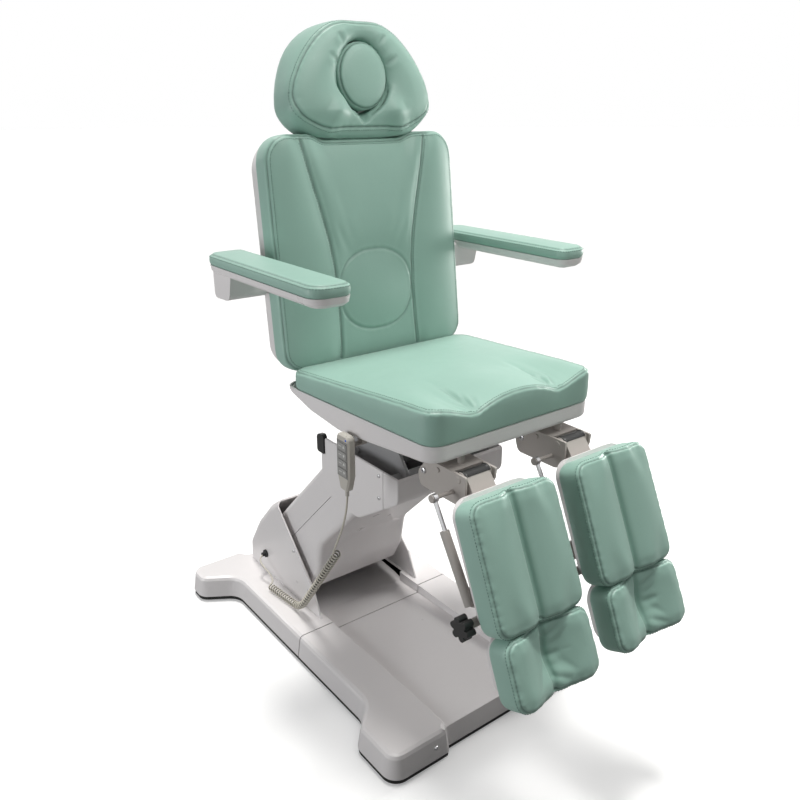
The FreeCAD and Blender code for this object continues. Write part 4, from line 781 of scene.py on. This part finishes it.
mesh = remeshed(lofted("rough", back_outline, BACK_LEVELS), BACK_VOXEL, 3)
co = coords(mesh) / MM
co[:, 2] += share_of(BACK_REAR, BACK_FRONT, co[:, 2]) ** 2 * back_shape(co[:, 0], co[:, 1])
set_coords(mesh, co * MM)
rim = to_line(back_outline(1), BACK_FRONT - 1)
side_seams = [to_line(side_line(side, 0, 36, 594), BACK_FRONT + 4) for side in (-1, 1)]
oval_seam = to_line(oval_edge(), BACK_FRONT + 6)
pins = held_below(co, BACK_REAR, 14)
for line, closed in ((rim, True), (side_seams[0], False), (side_seams[1], False), (oval_seam, True)):
    pins = held_along(pins, co, line, 0.85, 0.008, closed=closed)
back = Cover(stuffed(mesh, pins, 0.010))
back.seam(rim, depth=0.0022, width=0.0030, shoulder=0.15, pucker=0.0003)
for line in side_seams:
    back.seam(line, depth=0.0036, width=0.0034, shoulder=0.25, pucker=0.0003, closed=False)
back.seam(oval_seam, depth=0.0026, width=0.0032, shoulder=0.2, pucker=0.0002, crease_shade=0.5)
back.sew(to_line(back_outline(9), BACK_FRONT + 4))
for side in (-1, 1):
    back.sew(to_line(side_line(side, 6, 40, 588), BACK_FRONT + 6), closed=False)
back.finish("back_pad", "backrest", "back_cushion", BACK)


# Headrest

HEAD_HALF, HEAD_LOW, HEAD_HIGH = 211, 592, 868
HEAD_PLAN = [(-HEAD_HALF, HEAD_LOW), (HEAD_HALF, HEAD_LOW), (HEAD_HALF, 712), (172, HEAD_HIGH),
             (-172, HEAD_HIGH), (-HEAD_HALF, 712)]
HEAD_REAR, HEAD_FRONT = -31.7, 70.0
HEAD_LEVELS = [(12, HEAD_REAR), (3, HEAD_REAR + 8), (-1, HEAD_REAR + 24), (-1, HEAD_FRONT - 30),
               (3, HEAD_FRONT - 14), (9, HEAD_FRONT - 5), (22, HEAD_FRONT + 2), (60, HEAD_FRONT + 8)]
HEAD_VOXEL = 0.0052
HOLE_LEVELS = [(-3, -60), (-3, 120)]
PLUG_V, PLUG_U, PLUG_H = 738.0, 75.0, 82.0
PLUG_POINTS = 96
head_outline = outline_of(HEAD_PLAN, [78, 78, 200, 165, 165, 200])
head_seam_outline = outline_of(HEAD_PLAN, [104, 104, 200, 150, 150, 200])


def plug_outline(inset):
    turns = np.linspace(0, 2 * math.pi, PLUG_POINTS, endpoint=False)
    u = (PLUG_U - inset) * np.cos(turns)
    v = PLUG_V + (PLUG_H - inset) * np.sin(turns)
    return np.stack([u, v], axis=1)


def plug_gap(u, v):
    """About how far a point lies outside the plug's outline, in millimetres."""
    far = np.hypot(u / PLUG_U, (v - PLUG_V) / PLUG_H)
    return (far - 1) * np.hypot(u, v - PLUG_V) / np.maximum(far, 1e-6)


def head_warp(uv, share):
    """Narrows the front of the top and rounds the lower edge."""
    u, v = uv[:, 0], uv[:, 1]
    wide = 1 - 0.22 * smooth(690, 880, v) * share + 0.03 * (1 - smooth(640, 780, v))
    lift = 17 * np.clip(np.abs(u) / HEAD_HALF, 0, 1) ** 2.5 * (1 - smooth(HEAD_LOW, 710, v))
    return np.stack([u * wide, v + lift], axis=1)


def head_shape(u, v, gap):
    """Drawn in round the plug and along the lower edge, with two ridges and a notch under the plug."""
    out = -17 * np.exp(-gap / 9) - 8 * bell(gap, 30)
    for side in (-1, 1):
        ridge = u - side * (84 - 0.5 * (v - 655))
        out += 11 * bell(ridge, 30) * (1 - smooth(650, 760, v))
    opening = 5 + 0.55 * np.clip(v - 628, 0, 60)
    notch = bell(u, opening) * smooth(620, 640, v) * (1 - smooth(668, 690, v))
    return out - 24 * notch - 17 * (1 - smooth(598, 655, v))


def head_seam(inset, share):
    """The seam's line round the face, drawn up a little along the lower edge."""
    line = head_seam_outline(inset)
    line[:, 1] += 15 * (1 - smooth(590, 715, line[:, 1]))
    return head_warp(line, share)


def head_fold(side, start, slope, long, steps, bend=0.0):
    """Points of a fold that runs out and up from beside the plug."""
    t = np.linspace(0, long, steps)
    return np.stack([side * (start[0] + slope[0] * t), start[1] + slope[1] * t + bend * t * t], axis=1)


def pierced(thing, cutter):
    """The first object's form without the second one's."""
    cut = thing.modifiers.new("hole", "BOOLEAN")
    cut.operation = "DIFFERENCE"
    cut.object = cutter
    cut.solver = "EXACT"
    mesh = evaluated(thing)
    discard(thing)
    discard(cutter)
    return object_of("rough", mesh)


whole = lofted("rough", head_outline, HEAD_LEVELS)
hole = lofted("cutter", plug_outline, HOLE_LEVELS)
mesh = remeshed(pierced(whole, hole), HEAD_VOXEL, 3)
co = coords(mesh) / MM
share = share_of(HEAD_REAR, HEAD_FRONT, co[:, 2]) ** 2
gap = np.maximum(plug_gap(co[:, 0], co[:, 1]), 0)
shape = head_shape(co[:, 0], co[:, 1], gap)
co[:, :2] = head_warp(co[:, :2], share)
co[:, 2] += share * shape
set_coords(mesh, co * MM)
rim = to_line(head_seam(8, 0.85), HEAD_FRONT - 8)
pins = np.maximum(held_below(co, HEAD_REAR, 14), np.where(gap < 6, 1.0, 0.0))
pins = held_along(pins, co, rim, 0.85, 0.007)
head = Cover(stuffed(mesh, pins, 0.011))
head.seam(rim, depth=0.0030, width=0.0032, shoulder=0.2, pucker=0.0004)
for side in (-1, 1):
    fold = head_fold(side, (10, 648), (0.95, 0.9), 66, 30, bend=0.0035)
    head.fold(to_line(fold, HEAD_FRONT - 6), depth=0.005, width=0.006, shoulder=0.4, crease_shade=0.5)
    fold = head_fold(side, (66, 762), (0.75, 0.5), 50, 20)
    head.fold(to_line(fold, HEAD_FRONT - 4), depth=0.0022, width=0.006, shoulder=0.5, crease_shade=0.3)
    fold = head_fold(side, (52, 812), (0.5, 0.62), 36, 20)
    head.fold(to_line(fold, HEAD_FRONT - 4), depth=0.0016, width=0.006, shoulder=0.5, crease_shade=0.2)
head.sew(to_line(head_seam(3, 0.75), HEAD_FRONT - 16))
head.finish("headrest_pad", "headrest", "headrest_cushion", BACK)


# Plug of the headrest

PLUG_LEVELS = [(7, -11), (2, -4), (1, 4), (1, 56), (3, 63), (9, 69), (22, 73), (42, 75)]
PLUG_VOXEL = 0.0045
PLUG_HELD = 58
mesh = remeshed(lofted("rough", plug_outline, PLUG_LEVELS), PLUG_VOXEL, 3)
co = coords(mesh) / MM
rim = to_line(plug_outline(4), 66)
pins = held_along(np.where(co[:, 2] < PLUG_HELD, 1.0, 0.0), co, rim, 0.9, 0.005, step=0.005)
plug = Cover(stuffed(mesh, pins, 0.005))
plug.seam(rim, depth=0.0018, width=0.003, shoulder=0.4, pucker=0.0002)
plug.finish("headrest_plug_pad", "headrest_plug", "headrest_plug", BACK)


# Armrest pads

ARM_INNER, ARM_OUTER = 318, 417
ARM_NEAR, ARM_FAR = 177, 688
ARM_PLAN = [(ARM_INNER, ARM_NEAR), (ARM_OUTER, ARM_NEAR), (ARM_OUTER, ARM_FAR), (ARM_INNER, ARM_FAR)]
ARM_RADII = [26, 40, 26, 18]
ARM_TOP, ARM_LOW = 1215.0, 1187.2
ARM_LEVELS = [(5, ARM_LOW - 3), (-1, ARM_LOW + 3), (-2, ARM_LOW + 11), (-1, ARM_TOP - 8), (3, ARM_TOP - 2),
              (9, ARM_TOP), (26, ARM_TOP + 1)]
ARM_VOXEL = 0.0046
ARM_PUFF = 3.0
mirrored_plan = [(-x, y) for x, y in reversed(ARM_PLAN)]
arm_outlines = {
    "left": outline_of(ARM_PLAN, ARM_RADII),
    "right": outline_of(mirrored_plan, ARM_RADII[::-1]),
}
for name, outline in arm_outlines.items():
    mesh = remeshed(lofted("rough", outline, ARM_LEVELS), ARM_VOXEL, 3)
    co = coords(mesh) / MM
    rim = to_line(outline(5), ARM_TOP - 2)
    pins = held_along(held_below(co, ARM_LOW, 10), co, rim, 0.9, 0.005, step=0.005)
    pad = Cover(stuffed(mesh, pins, 0.004, ARM_PUFF))
    pad.seam(rim, depth=0.0016, width=0.0026, shoulder=0.2, pucker=0.0002)
    pad.sew(to_line(outline(1), ARM_TOP - 8))
    pad.finish("armrest_pad_cover_" + name, "armrest_" + name, "armrest_pad_" + name, FLAT)


# Calf and foot cushions

LEG_X, LEG_Y, LEG_Z, LEG_LEAN = 155.5, -28.0, 806.0, 24.0
LEG_REAR, LEG_FRONT = 52.4, 115.0
LEG_LEVELS = [(8, LEG_REAR - 6), (0, LEG_REAR - 1), (-3, LEG_REAR + 5), (-4, LEG_REAR + 16),
              (-4, LEG_FRONT - 12), (-2, LEG_FRONT - 3), (4, LEG_FRONT + 1), (24, LEG_FRONT + 4)]
LEG_VOXEL = 0.0046
LEG_TOP_HALF = 118
LEG_CORNER = 28


def calf_shape(u, v):
    """Two rounded halves with a crease down the middle."""
    side = np.abs(u)
    return -13 * np.exp(-side / 9) - 9 * bell(u, 26) + 5 * bell(side - 46, 20)


def foot_shape(u, v):
    """A deep valley for the heel between two raised sides."""
    side = 1 - np.clip(np.abs(u) / 86, 0, 1)
    saddle = 1 + 0.25 * np.cos((v + 392) / 70 * math.pi)
    return -32 * side ** 1.15 * saddle - 6 * np.exp(-np.abs(u) / 10) + 4 * bell(np.abs(u) - 74, 22)


def leg_height(shape, offset=0, share=1):
    return lambda u, v: LEG_FRONT + offset + share * float(shape(u, v))


def leg_cover(top, end, low_half, shape):
    """The stuffed cover with its outline and its rim, held along the middle crease."""
    plan = [(-low_half, -end), (low_half, -end), (LEG_TOP_HALF, -top), (-LEG_TOP_HALF, -top)]
    outline = outline_of(plan, [LEG_CORNER] * 4)
    mesh = remeshed(lofted("rough", outline, LEG_LEVELS), LEG_VOXEL, 3)
    co = coords(mesh) / MM
    co[:, 2] += share_of(LEG_REAR, LEG_FRONT, co[:, 2]) ** 1.5 * shape(co[:, 0], co[:, 1])
    set_coords(mesh, co * MM)
    rim = to_line(outline(1), leg_height(shape, -1))
    pins = held_along(held_below(co, LEG_REAR, 12), co, rim, 0.85, 0.006, step=0.005)
    pins = np.maximum(pins, 0.9 * bell(co[:, 0], 7) * (co[:, 2] > LEG_FRONT - 45))
    return stuffed(mesh, pins, 0.008), outline, rim


LEG_FORMS = {
    "calf": dict(top=40, end=317, low_half=122, shape=calf_shape),
    "foot": dict(top=325, end=471, low_half=120, shape=foot_shape),
}
LEG_BODIES = {"calf": "leg_", "foot": "foot_"}
LEG_PUCKERS = {"calf": 0.0004, "foot": 0.0006}
LEG_FOLDS = {"calf": (), "foot": ((0.25, -0.5, 46), (0.5, 0.1, 40), (0.75, 0.5, 46))}
leg_covers = {kind: leg_cover(**form) for kind, form in LEG_FORMS.items()}
for name, side in (("left", 1), ("right", -1)):
    turn = local(LEG_Y, LEG_Z, LEG_LEAN, side * LEG_X)
    for kind, form in LEG_FORMS.items():
        mesh, outline, rim = leg_covers[kind]
        shape = form["shape"]
        low, high = -form["end"], -form["top"]
        pad = Cover(mesh.copy())
        pad.seam(rim, depth=0.0020, width=0.0028, shoulder=0.15, pucker=LEG_PUCKERS[kind])
        crease = [(1.5 * math.sin(v / 40), v) for v in np.linspace(low + 4, high - 4, 80)]
        pad.press(to_line(crease, leg_height(shape)), depth=0.004, width=0.007, shoulder=0.25, crease_shade=0.3)
        for at, lean, long in LEG_FOLDS[kind]:
            fold = [(side * 6 + t, low + (high - low) * at + lean * t) for t in np.linspace(4, long, 20)]
            pad.fold(to_line(fold, leg_height(shape)), depth=0.0016, width=0.006, shoulder=0.5, crease_shade=0.2)
        pad.sew(to_line(outline(-4), leg_height(shape, -9, 0.8)))
        pad.finish(kind + "_pad_" + name, LEG_BODIES[kind] + name, kind + "_cushion_" + name, turn)


# Handset cord: a tail at the gland, a coil along the base and up beside the arm, a lead to the handset

CORD_D = 0.005
CURL_R = 0.009
PITCH_LOW, PITCH_HIGH = 0.0105, 0.0160
OPEN_FROM, OPEN_TO = 0.24, 0.40
AXIS_STEP = 0.0005
CURL_SIDES, LEAD_SIDES = 8, 12
TAIL = [(-0.184, 0.54199, 0.153), (-0.230, 0.54199, 0.153), (-0.2081, 0.4389, 0.1102),
        (-0.2329, 0.4319, 0.1074)]
CURL = [(-0.232, 0.43199, 0.0985), (-0.223, 0.343, 0.0985), (-0.216, 0.272, 0.0985),
        (-0.2190, 0.200, 0.1940), (-0.226, 0.0320, 0.415)]
LEAD_START = 0.026
LEAD_END = [(-0.290, -0.1230, 0.620), (-0.290, -0.1230, 0.683)]
UP = np.array((0.0, 0.0, 1.0))


def route(name, points, fine):
    """Points read from a smooth spline through the route's control points."""
    curve = bpy.data.curves.new(name, "CURVE")
    curve.dimensions = "3D"
    curve.resolution_u = fine
    spline = curve.splines.new("NURBS")
    spline.points.add(len(points) - 1)
    for spot, point in zip(spline.points, points):
        spot.co = (*point, 1)
    spline.order_u = 3
    spline.use_endpoint_u = True
    thing = object_of(name, curve)
    mesh = evaluated(thing)
    line = coords(mesh)
    bpy.data.meshes.remove(mesh)
    bpy.data.objects.remove(thing)
    bpy.data.curves.remove(curve)
    return line


def ways_of(line):
    ways = np.gradient(line, axis=0)
    return ways / np.linalg.norm(ways, axis=1, keepdims=True)


def carried(direction, ways):
    """A direction kept square to a line as it is carried along it."""
    out = []
    for way in ways:
        direction = direction - way * float(direction @ way)
        direction = direction / np.linalg.norm(direction)
        out.append(direction)
    return out


def tube(name, line, radius, sides):
    line = np.array(line)
    ways = ways_of(line)
    verts = []
    for spot, way, across in zip(line, ways, carried(np.cross(ways[0], UP), ways)):
        verts.extend(circle(spot, across, np.cross(way, across), radius, sides))
    return object_from(name, verts, ring_faces(len(line), sides), mat_cord)


def helix(axis):
    """The coil's middle line round its axis, opened out where it hangs."""
    ways = ways_of(axis)
    run = run_of(axis)
    tight = 1 - smooth(OPEN_FROM, OPEN_TO, run / run[-1])
    pitch = PITCH_LOW * tight + PITCH_HIGH * (1 - tight)
    turned = np.concatenate([[0], np.cumsum(np.diff(run) / pitch[1:])])
    curl = []
    for spot, way, out, turns in zip(axis, ways, carried(UP, ways), turned):
        a = 2 * math.pi * turns
        curl.append(spot + CURL_R * (out * math.cos(a) + np.cross(way, out) * math.sin(a)))
    return curl


axis = spaced(route("curl_route", CURL, 40), AXIS_STEP)
curl = helix(axis)
tail = route("tail_route", TAIL, 12)
lower = list(tail[:-1]) + curl
end_way = (curl[-1] - curl[-2]) / np.linalg.norm(curl[-1] - curl[-2])
lead = route("lead_route", [tuple(curl[-1]), tuple(curl[-1] + LEAD_START * end_way)] + LEAD_END, 16)
cord_lower = tube("cord_curled", lower, CORD_D / 2, CURL_SIDES)
cord_upper = tube("cord_lead", lead, CORD_D / 2, LEAD_SIDES)

# The coil's inner side, which little light reaches, marked for painted shade

inward = np.zeros((len(lower), 3))
inward[len(tail) - 1:] = (axis - np.array(curl)) / CURL_R
inward = np.repeat(inward, CURL_SIDES, axis=0)
facing = (coords(cord_lower.data) - np.repeat(np.array(lower), CURL_SIDES, axis=0)) / (CORD_D / 2)
shaded_share = np.clip(np.sum(facing * inward, axis=1) * 1.6 + 0.5, 0, 1)
set_point_value(cord_lower.data, "shaded_share", shaded_share * (np.linalg.norm(inward, axis=1) > 0.5))
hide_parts("handset_cord_tail", "handset_cord_coil")
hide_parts("handset_cord_lead")
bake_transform(cord_lower)
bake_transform(cord_upper)


# Floor of the well under the lift arm

WELL_HALF = 0.1745
WELL_Y = [0.2665, 0.2700, 0.3100, 0.3600, 0.4200, 0.4800, 0.5400, 0.5700, 0.5850, 0.5920]
WELL_Z = [0.0535, 0.0536, 0.0560, 0.0600, 0.0630, 0.0645, 0.0655, 0.0690, 0.0780, 0.0920]
WELL_ACROSS = [-1.0, -0.985, -0.95, -0.6, -0.2, 0.2, 0.6, 0.95, 0.985, 1.0]
WELL_LIP = 0.006
WELL_THICK = 0.003


def well_point(share, y, z):
    lip = WELL_LIP * smooth(0.94, 1.0, abs(share)) * smooth(0.27, 0.31, y)
    return WELL_HALF * share, y, z + lip


upper = np.array([[well_point(share, y, z) for share in WELL_ACROSS] for y, z in zip(WELL_Y, WELL_Z)])
verts, faces = sheet(upper, upper - (0, 0, WELL_THICK))
well = object_from("well_floor", verts, faces, mat_white)
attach(well, "base")


# Black sleeve-shaped sheets over the leg hinges: painted shade for the dark hinge mouths

HINGE_Y = (LEG_Y + SEAT_FRONT_Y) * MM
HINGE_Z = LEG_Z * MM
SLEEVE_HALF = 0.037
SLEEVE_IN, SLEEVE_OUT, SLEEVE_RIB = 0.0149, 0.0160, 0.0170
SLEEVE_ENDS = [(0.83, SLEEVE_OUT), (0.86, SLEEVE_RIB), (0.97, SLEEVE_RIB), (1.0, SLEEVE_OUT)]
SLEEVE_ROWS = [(-share, outer) for share, outer in reversed(SLEEVE_ENDS)] + SLEEVE_ENDS
SLEEVE_TURNS = np.radians(np.linspace(152, 22, 27))


def sleeve_point(middle, share, radius, turn):
    x = middle + SLEEVE_HALF * share
    return x, HINGE_Y + radius * math.cos(turn), HINGE_Z + radius * math.sin(turn)


for side, name in ((-1, "right"), (1, "left")):
    x = side * LEG_X * MM
    outer = [[sleeve_point(x, share, radius, a) for share, radius in SLEEVE_ROWS] for a in SLEEVE_TURNS]
    inner = [[sleeve_point(x, share, SLEEVE_IN, a) for share, _ in SLEEVE_ROWS] for a in SLEEVE_TURNS]
    verts, faces = sheet(np.array(outer), np.array(inner))
    # Painted shade: a black sheet over the top of each knuckle, where the hinge mouth lies in shadow
    shade_sheet = object_from("hinge_shade_sheet_" + name, verts, faces, mat_knob, False)
    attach(shade_sheet, "leg_" + name)


# Screws and bolts

SCREW_RINGS = [(1.0, -0.1, False), (1.0, 0.3, False), (0.88, 0.52, False), (0.62, 0.62, False),
               (0.42, 0.62, True), (0.42, 0.15, True)]
SCREW_SIDES = 24
SIXTH = math.pi / 3
COVER_X, COVER_Y, COVER_HEIGHTS = 0.178, -0.098, (0.684, 0.622)
HUMP_X, HUMP_SPOTS = 0.186, ((0.352, 0.252), (0.272, 0.152))
PANEL_X, PANEL_Y, PANEL_Z = 0.2128, -0.3802, 0.0508
PANEL_WAY = (0, -0.99, 0.14)
BRACKET_XS, BRACKET_Y, BRACKET_Z = (-0.2015, 0.1095), -0.3059, 0.7862


def hexagon(angle):
    """A regular hexagon's reach at an angle, as a share of its corners' reach."""
    return math.cos(SIXTH / 2) / math.cos((angle + SIXTH / 2) % SIXTH - SIXTH / 2)


def screw(verts, faces, at, way, radius):
    """A domed head with a hexagon socket, its underside just inside the surface."""
    way = np.array(way) / np.linalg.norm(way)
    side = np.cross(way, UP)
    side /= np.linalg.norm(side)
    over = np.cross(way, side)
    faces.extend(ring_faces(len(SCREW_RINGS), SCREW_SIDES, len(verts)))
    for share, high, six in SCREW_RINGS:
        for k in range(SCREW_SIDES):
            a = 2 * math.pi * k / SCREW_SIDES
            reach = radius * share * (hexagon(a) if six else 1)
            out = side * math.cos(a) + over * math.sin(a)
            verts.append(np.array(at) + reach * out + way * radius * high)


def screws(name, body, radius, spots):
    verts, faces = [], []
    for at, way in spots:
        screw(verts, faces, at, way, radius)
    made = object_from(name, verts, faces, mat_steel, False)
    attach(made, body)


screws("cover_screws", "seat", 0.0052,
       [((s * COVER_X, COVER_Y, z), (s, 0, 0)) for s in (-1, 1) for z in COVER_HEIGHTS])
screws("hump_screws", "base", 0.0052,
       [((s * HUMP_X, y, z), (s, 0, 0)) for s in (-1, 1) for y, z in HUMP_SPOTS])
screws("panel_screws", "base", 0.0055, [((s * PANEL_X, PANEL_Y, PANEL_Z), PANEL_WAY) for s in (-1, 1)])
screws("bracket_bolts", "seat", 0.0075, [((x, BRACKET_Y, BRACKET_Z), (-1, 0, 0)) for x in BRACKET_XS])


# Face plate of the handset

KEYS = 4
FACE_X = -0.3010
FACE_THICK = 0.0008
FACE_SUNK = 0.0004
FACE_Y = [-0.1445, -0.1416, -0.1044, -0.1015]
FACE_LOW, FACE_HIGH = 0.7270, 0.8200
WINDOW_LOW, WINDOW_HIGH, WINDOW_PITCH = 0.7314, 0.0182, 0.022
windows = [WINDOW_LOW + WINDOW_PITCH * k + edge for k in range(KEYS) for edge in (0, WINDOW_HIGH)]
FACE_Z = [FACE_LOW] + windows + [FACE_HIGH]


def face_plate(near, far):
    """A thin plate on a grid of cells, open where the keys stand."""
    rows, wide = len(FACE_Z), len(FACE_Y)
    kept = {(i, j) for i in range(wide - 1) for j in range(rows - 1) if i != 1 or j % 2 == 0}
    verts = [(x, y, z) for x in (near, far) for y in FACE_Y for z in FACE_Z]
    back = wide * rows
    faces = []
    for i, j in sorted(kept):
        a, b, c, d = i * rows + j, (i + 1) * rows + j, (i + 1) * rows + j + 1, i * rows + j + 1
        faces.append((d, c, b, a))
        faces.append((a + back, b + back, c + back, d + back))
        sides = {(i, j - 1): (a, b), (i + 1, j): (b, c), (i, j + 1): (c, d), (i - 1, j): (d, a)}
        for cell, (p, q) in sides.items():
            if cell not in kept:
                faces.append((p, q, q + back, p + back))
    return verts, faces


verts, faces = face_plate(FACE_X - FACE_THICK, FACE_X + FACE_SUNK)
face = object_from("handset_face", verts, faces, mat_face, False)
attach(face, "seat")


# Raised marks on the keys

MARK_X = -0.3026
MARK_SUNK, MARK_HIGH = 0.0002, 0.00035
ARROW = [(-0.0042, -0.0026), (0.0042, -0.0026), (0.0009, 0.0036), (-0.0009, 0.0036)]
BAR = [(-0.0058, -0.0009), (0.0058, -0.0009), (0.0054, 0.0009), (-0.0054, 0.0009)]
ARROW_Y, BAR_Y = -0.131, -0.1155
for number in range(1, KEYS + 1):
    low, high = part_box("handset_key_%d" % number)
    middle = (low[2] + high[2]) / 2
    verts, faces = [], []
    for shape, at, flip in ((ARROW, ARROW_Y, 1 if number % 2 == 0 else -1), (BAR, BAR_Y, 1)):
        faces += ring_faces(2, len(shape), len(verts))
        corners = [(at + u, middle + flip * v) for u, v in shape][::-flip]
        for x in (MARK_X + MARK_SUNK, MARK_X - MARK_HIGH):
            verts += [(x, y, z) for y, z in corners]
    mark = object_from("key_mark_%d" % number, verts, faces, mat_mark, False)
    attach(mark, "key_%d" % number)


# Lamp of the handset

LAMP_Y, LAMP_Z = -0.1385, 0.8256
LAMP_RINGS = [(0.0026, 0.0004), (0.0026, -0.0005), (0.0021, -0.0012), (0.0010, -0.0016)]
LAMP_SIDES = 16
verts = []
for reach, x in LAMP_RINGS:
    middle = np.array((FACE_X + x, LAMP_Y, LAMP_Z))
    verts += circle(middle, np.array((0, 1, 0)), np.array((0, 0, -1)), reach, LAMP_SIDES)
lamp = object_from("handset_lamp", verts, ring_faces(len(LAMP_RINGS), LAMP_SIDES), mat_lamp)
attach(lamp, "seat")


# Floor

FLOOR_HALF = 60.0
FLOOR_LIFT = 0.27
FLOOR_BOUNCE = (0.25, 0.25, 0.25)
FLOOR_DARK, FLOOR_PALE = (0.79, 0.79, 0.79), (0.81, 0.81, 0.81)
mat_floor, tree, shader = new_material("floor", (0.8, 0.8, 0.8), 0.9)
seen = add(tree, "ShaderNodeLightPath").outputs["Is Camera Ray"]
pale = mix(tree, noise(tree, 3.0), FLOOR_DARK, FLOOR_PALE)
tree.links.new(mix(tree, seen, FLOOR_BOUNCE, pale), shader.inputs["Base Color"])
shader.inputs["Specular IOR Level"].default_value = 0.1
shader.inputs["Emission Color"].default_value = (1, 1, 1, 1)
tree.links.new(ramp(tree, seen, 0.0, FLOOR_LIFT), shader.inputs["Emission Strength"])
corners = [(FLOOR_HALF * x, FLOOR_HALF * y, 0) for x, y in ((-1, -1), (1, -1), (1, 1), (-1, 1))]
floor = object_from("floor", corners, [(0, 1, 2, 3)], mat_floor, False)
floor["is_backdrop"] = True


# Lights

def light(name, kind, at, target, power, color, **values):
    data = bpy.data.lights.new(name, kind)
    data.energy = power
    data.color = color
    for key, value in values.items():
        setattr(data, key, value)
    aimed(object_of(name, data), at, Vector(target) - Vector(at))


WARM = (1.0, 0.985, 0.96)
DISKS = [
    ("top", (0.15, -0.75, 2.45), (0, -0.1, 0.9), 10.5, WARM, 0.9),
    ("front", (0.2, -2.3, 3.1), (0, 0.2, 1.5), 6, WARM, 0.8),
    ("left", (-2.4, 0.5, 0.9), (-0.1, 0.2, 0.2), 22, (0.97, 0.985, 1.0), 1.2),
    ("right", (2.9, -0.2, 1.3), (0, -0.3, 0.1), 50, (1.0, 0.99, 0.97), 1.0),
]
light("overhead", "SUN", (0.25, 0.45, 3.0), (0, 0, 0), 2.6, (1.0, 0.99, 0.965), angle=math.radians(14))
for name, at, target, power, color, size in DISKS:
    light(name, "AREA", at, target, power, color, shape="DISK", size=size)


# Surroundings: white where they are seen or mirrored, dim as a source of light

GLOW = 0.15
world = bpy.data.worlds.new("world")
scene.world = world
world.use_nodes = True
tree = world.node_tree
glow = add(tree, "ShaderNodeBackground", Strength=GLOW, Color=(1, 1, 1, 1))
seen = add(tree, "ShaderNodeBackground", Strength=1.0, Color=(1, 1, 1, 1))
path = add(tree, "ShaderNodeLightPath")
either = add(tree, "ShaderNodeMath", operation="MAXIMUM")
tree.links.new(path.outputs["Is Camera Ray"], either.inputs[0])
tree.links.new(path.outputs["Is Glossy Ray"], either.inputs[1])
blend = add(tree, "ShaderNodeMixShader")
tree.links.new(either.outputs[0], blend.inputs[0])
tree.links.new(glow.outputs[0], blend.inputs[1])
tree.links.new(seen.outputs[0], blend.inputs[2])
tree.links.new(blend.outputs[0], tree.nodes["World Output"].inputs["Surface"])

low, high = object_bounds()
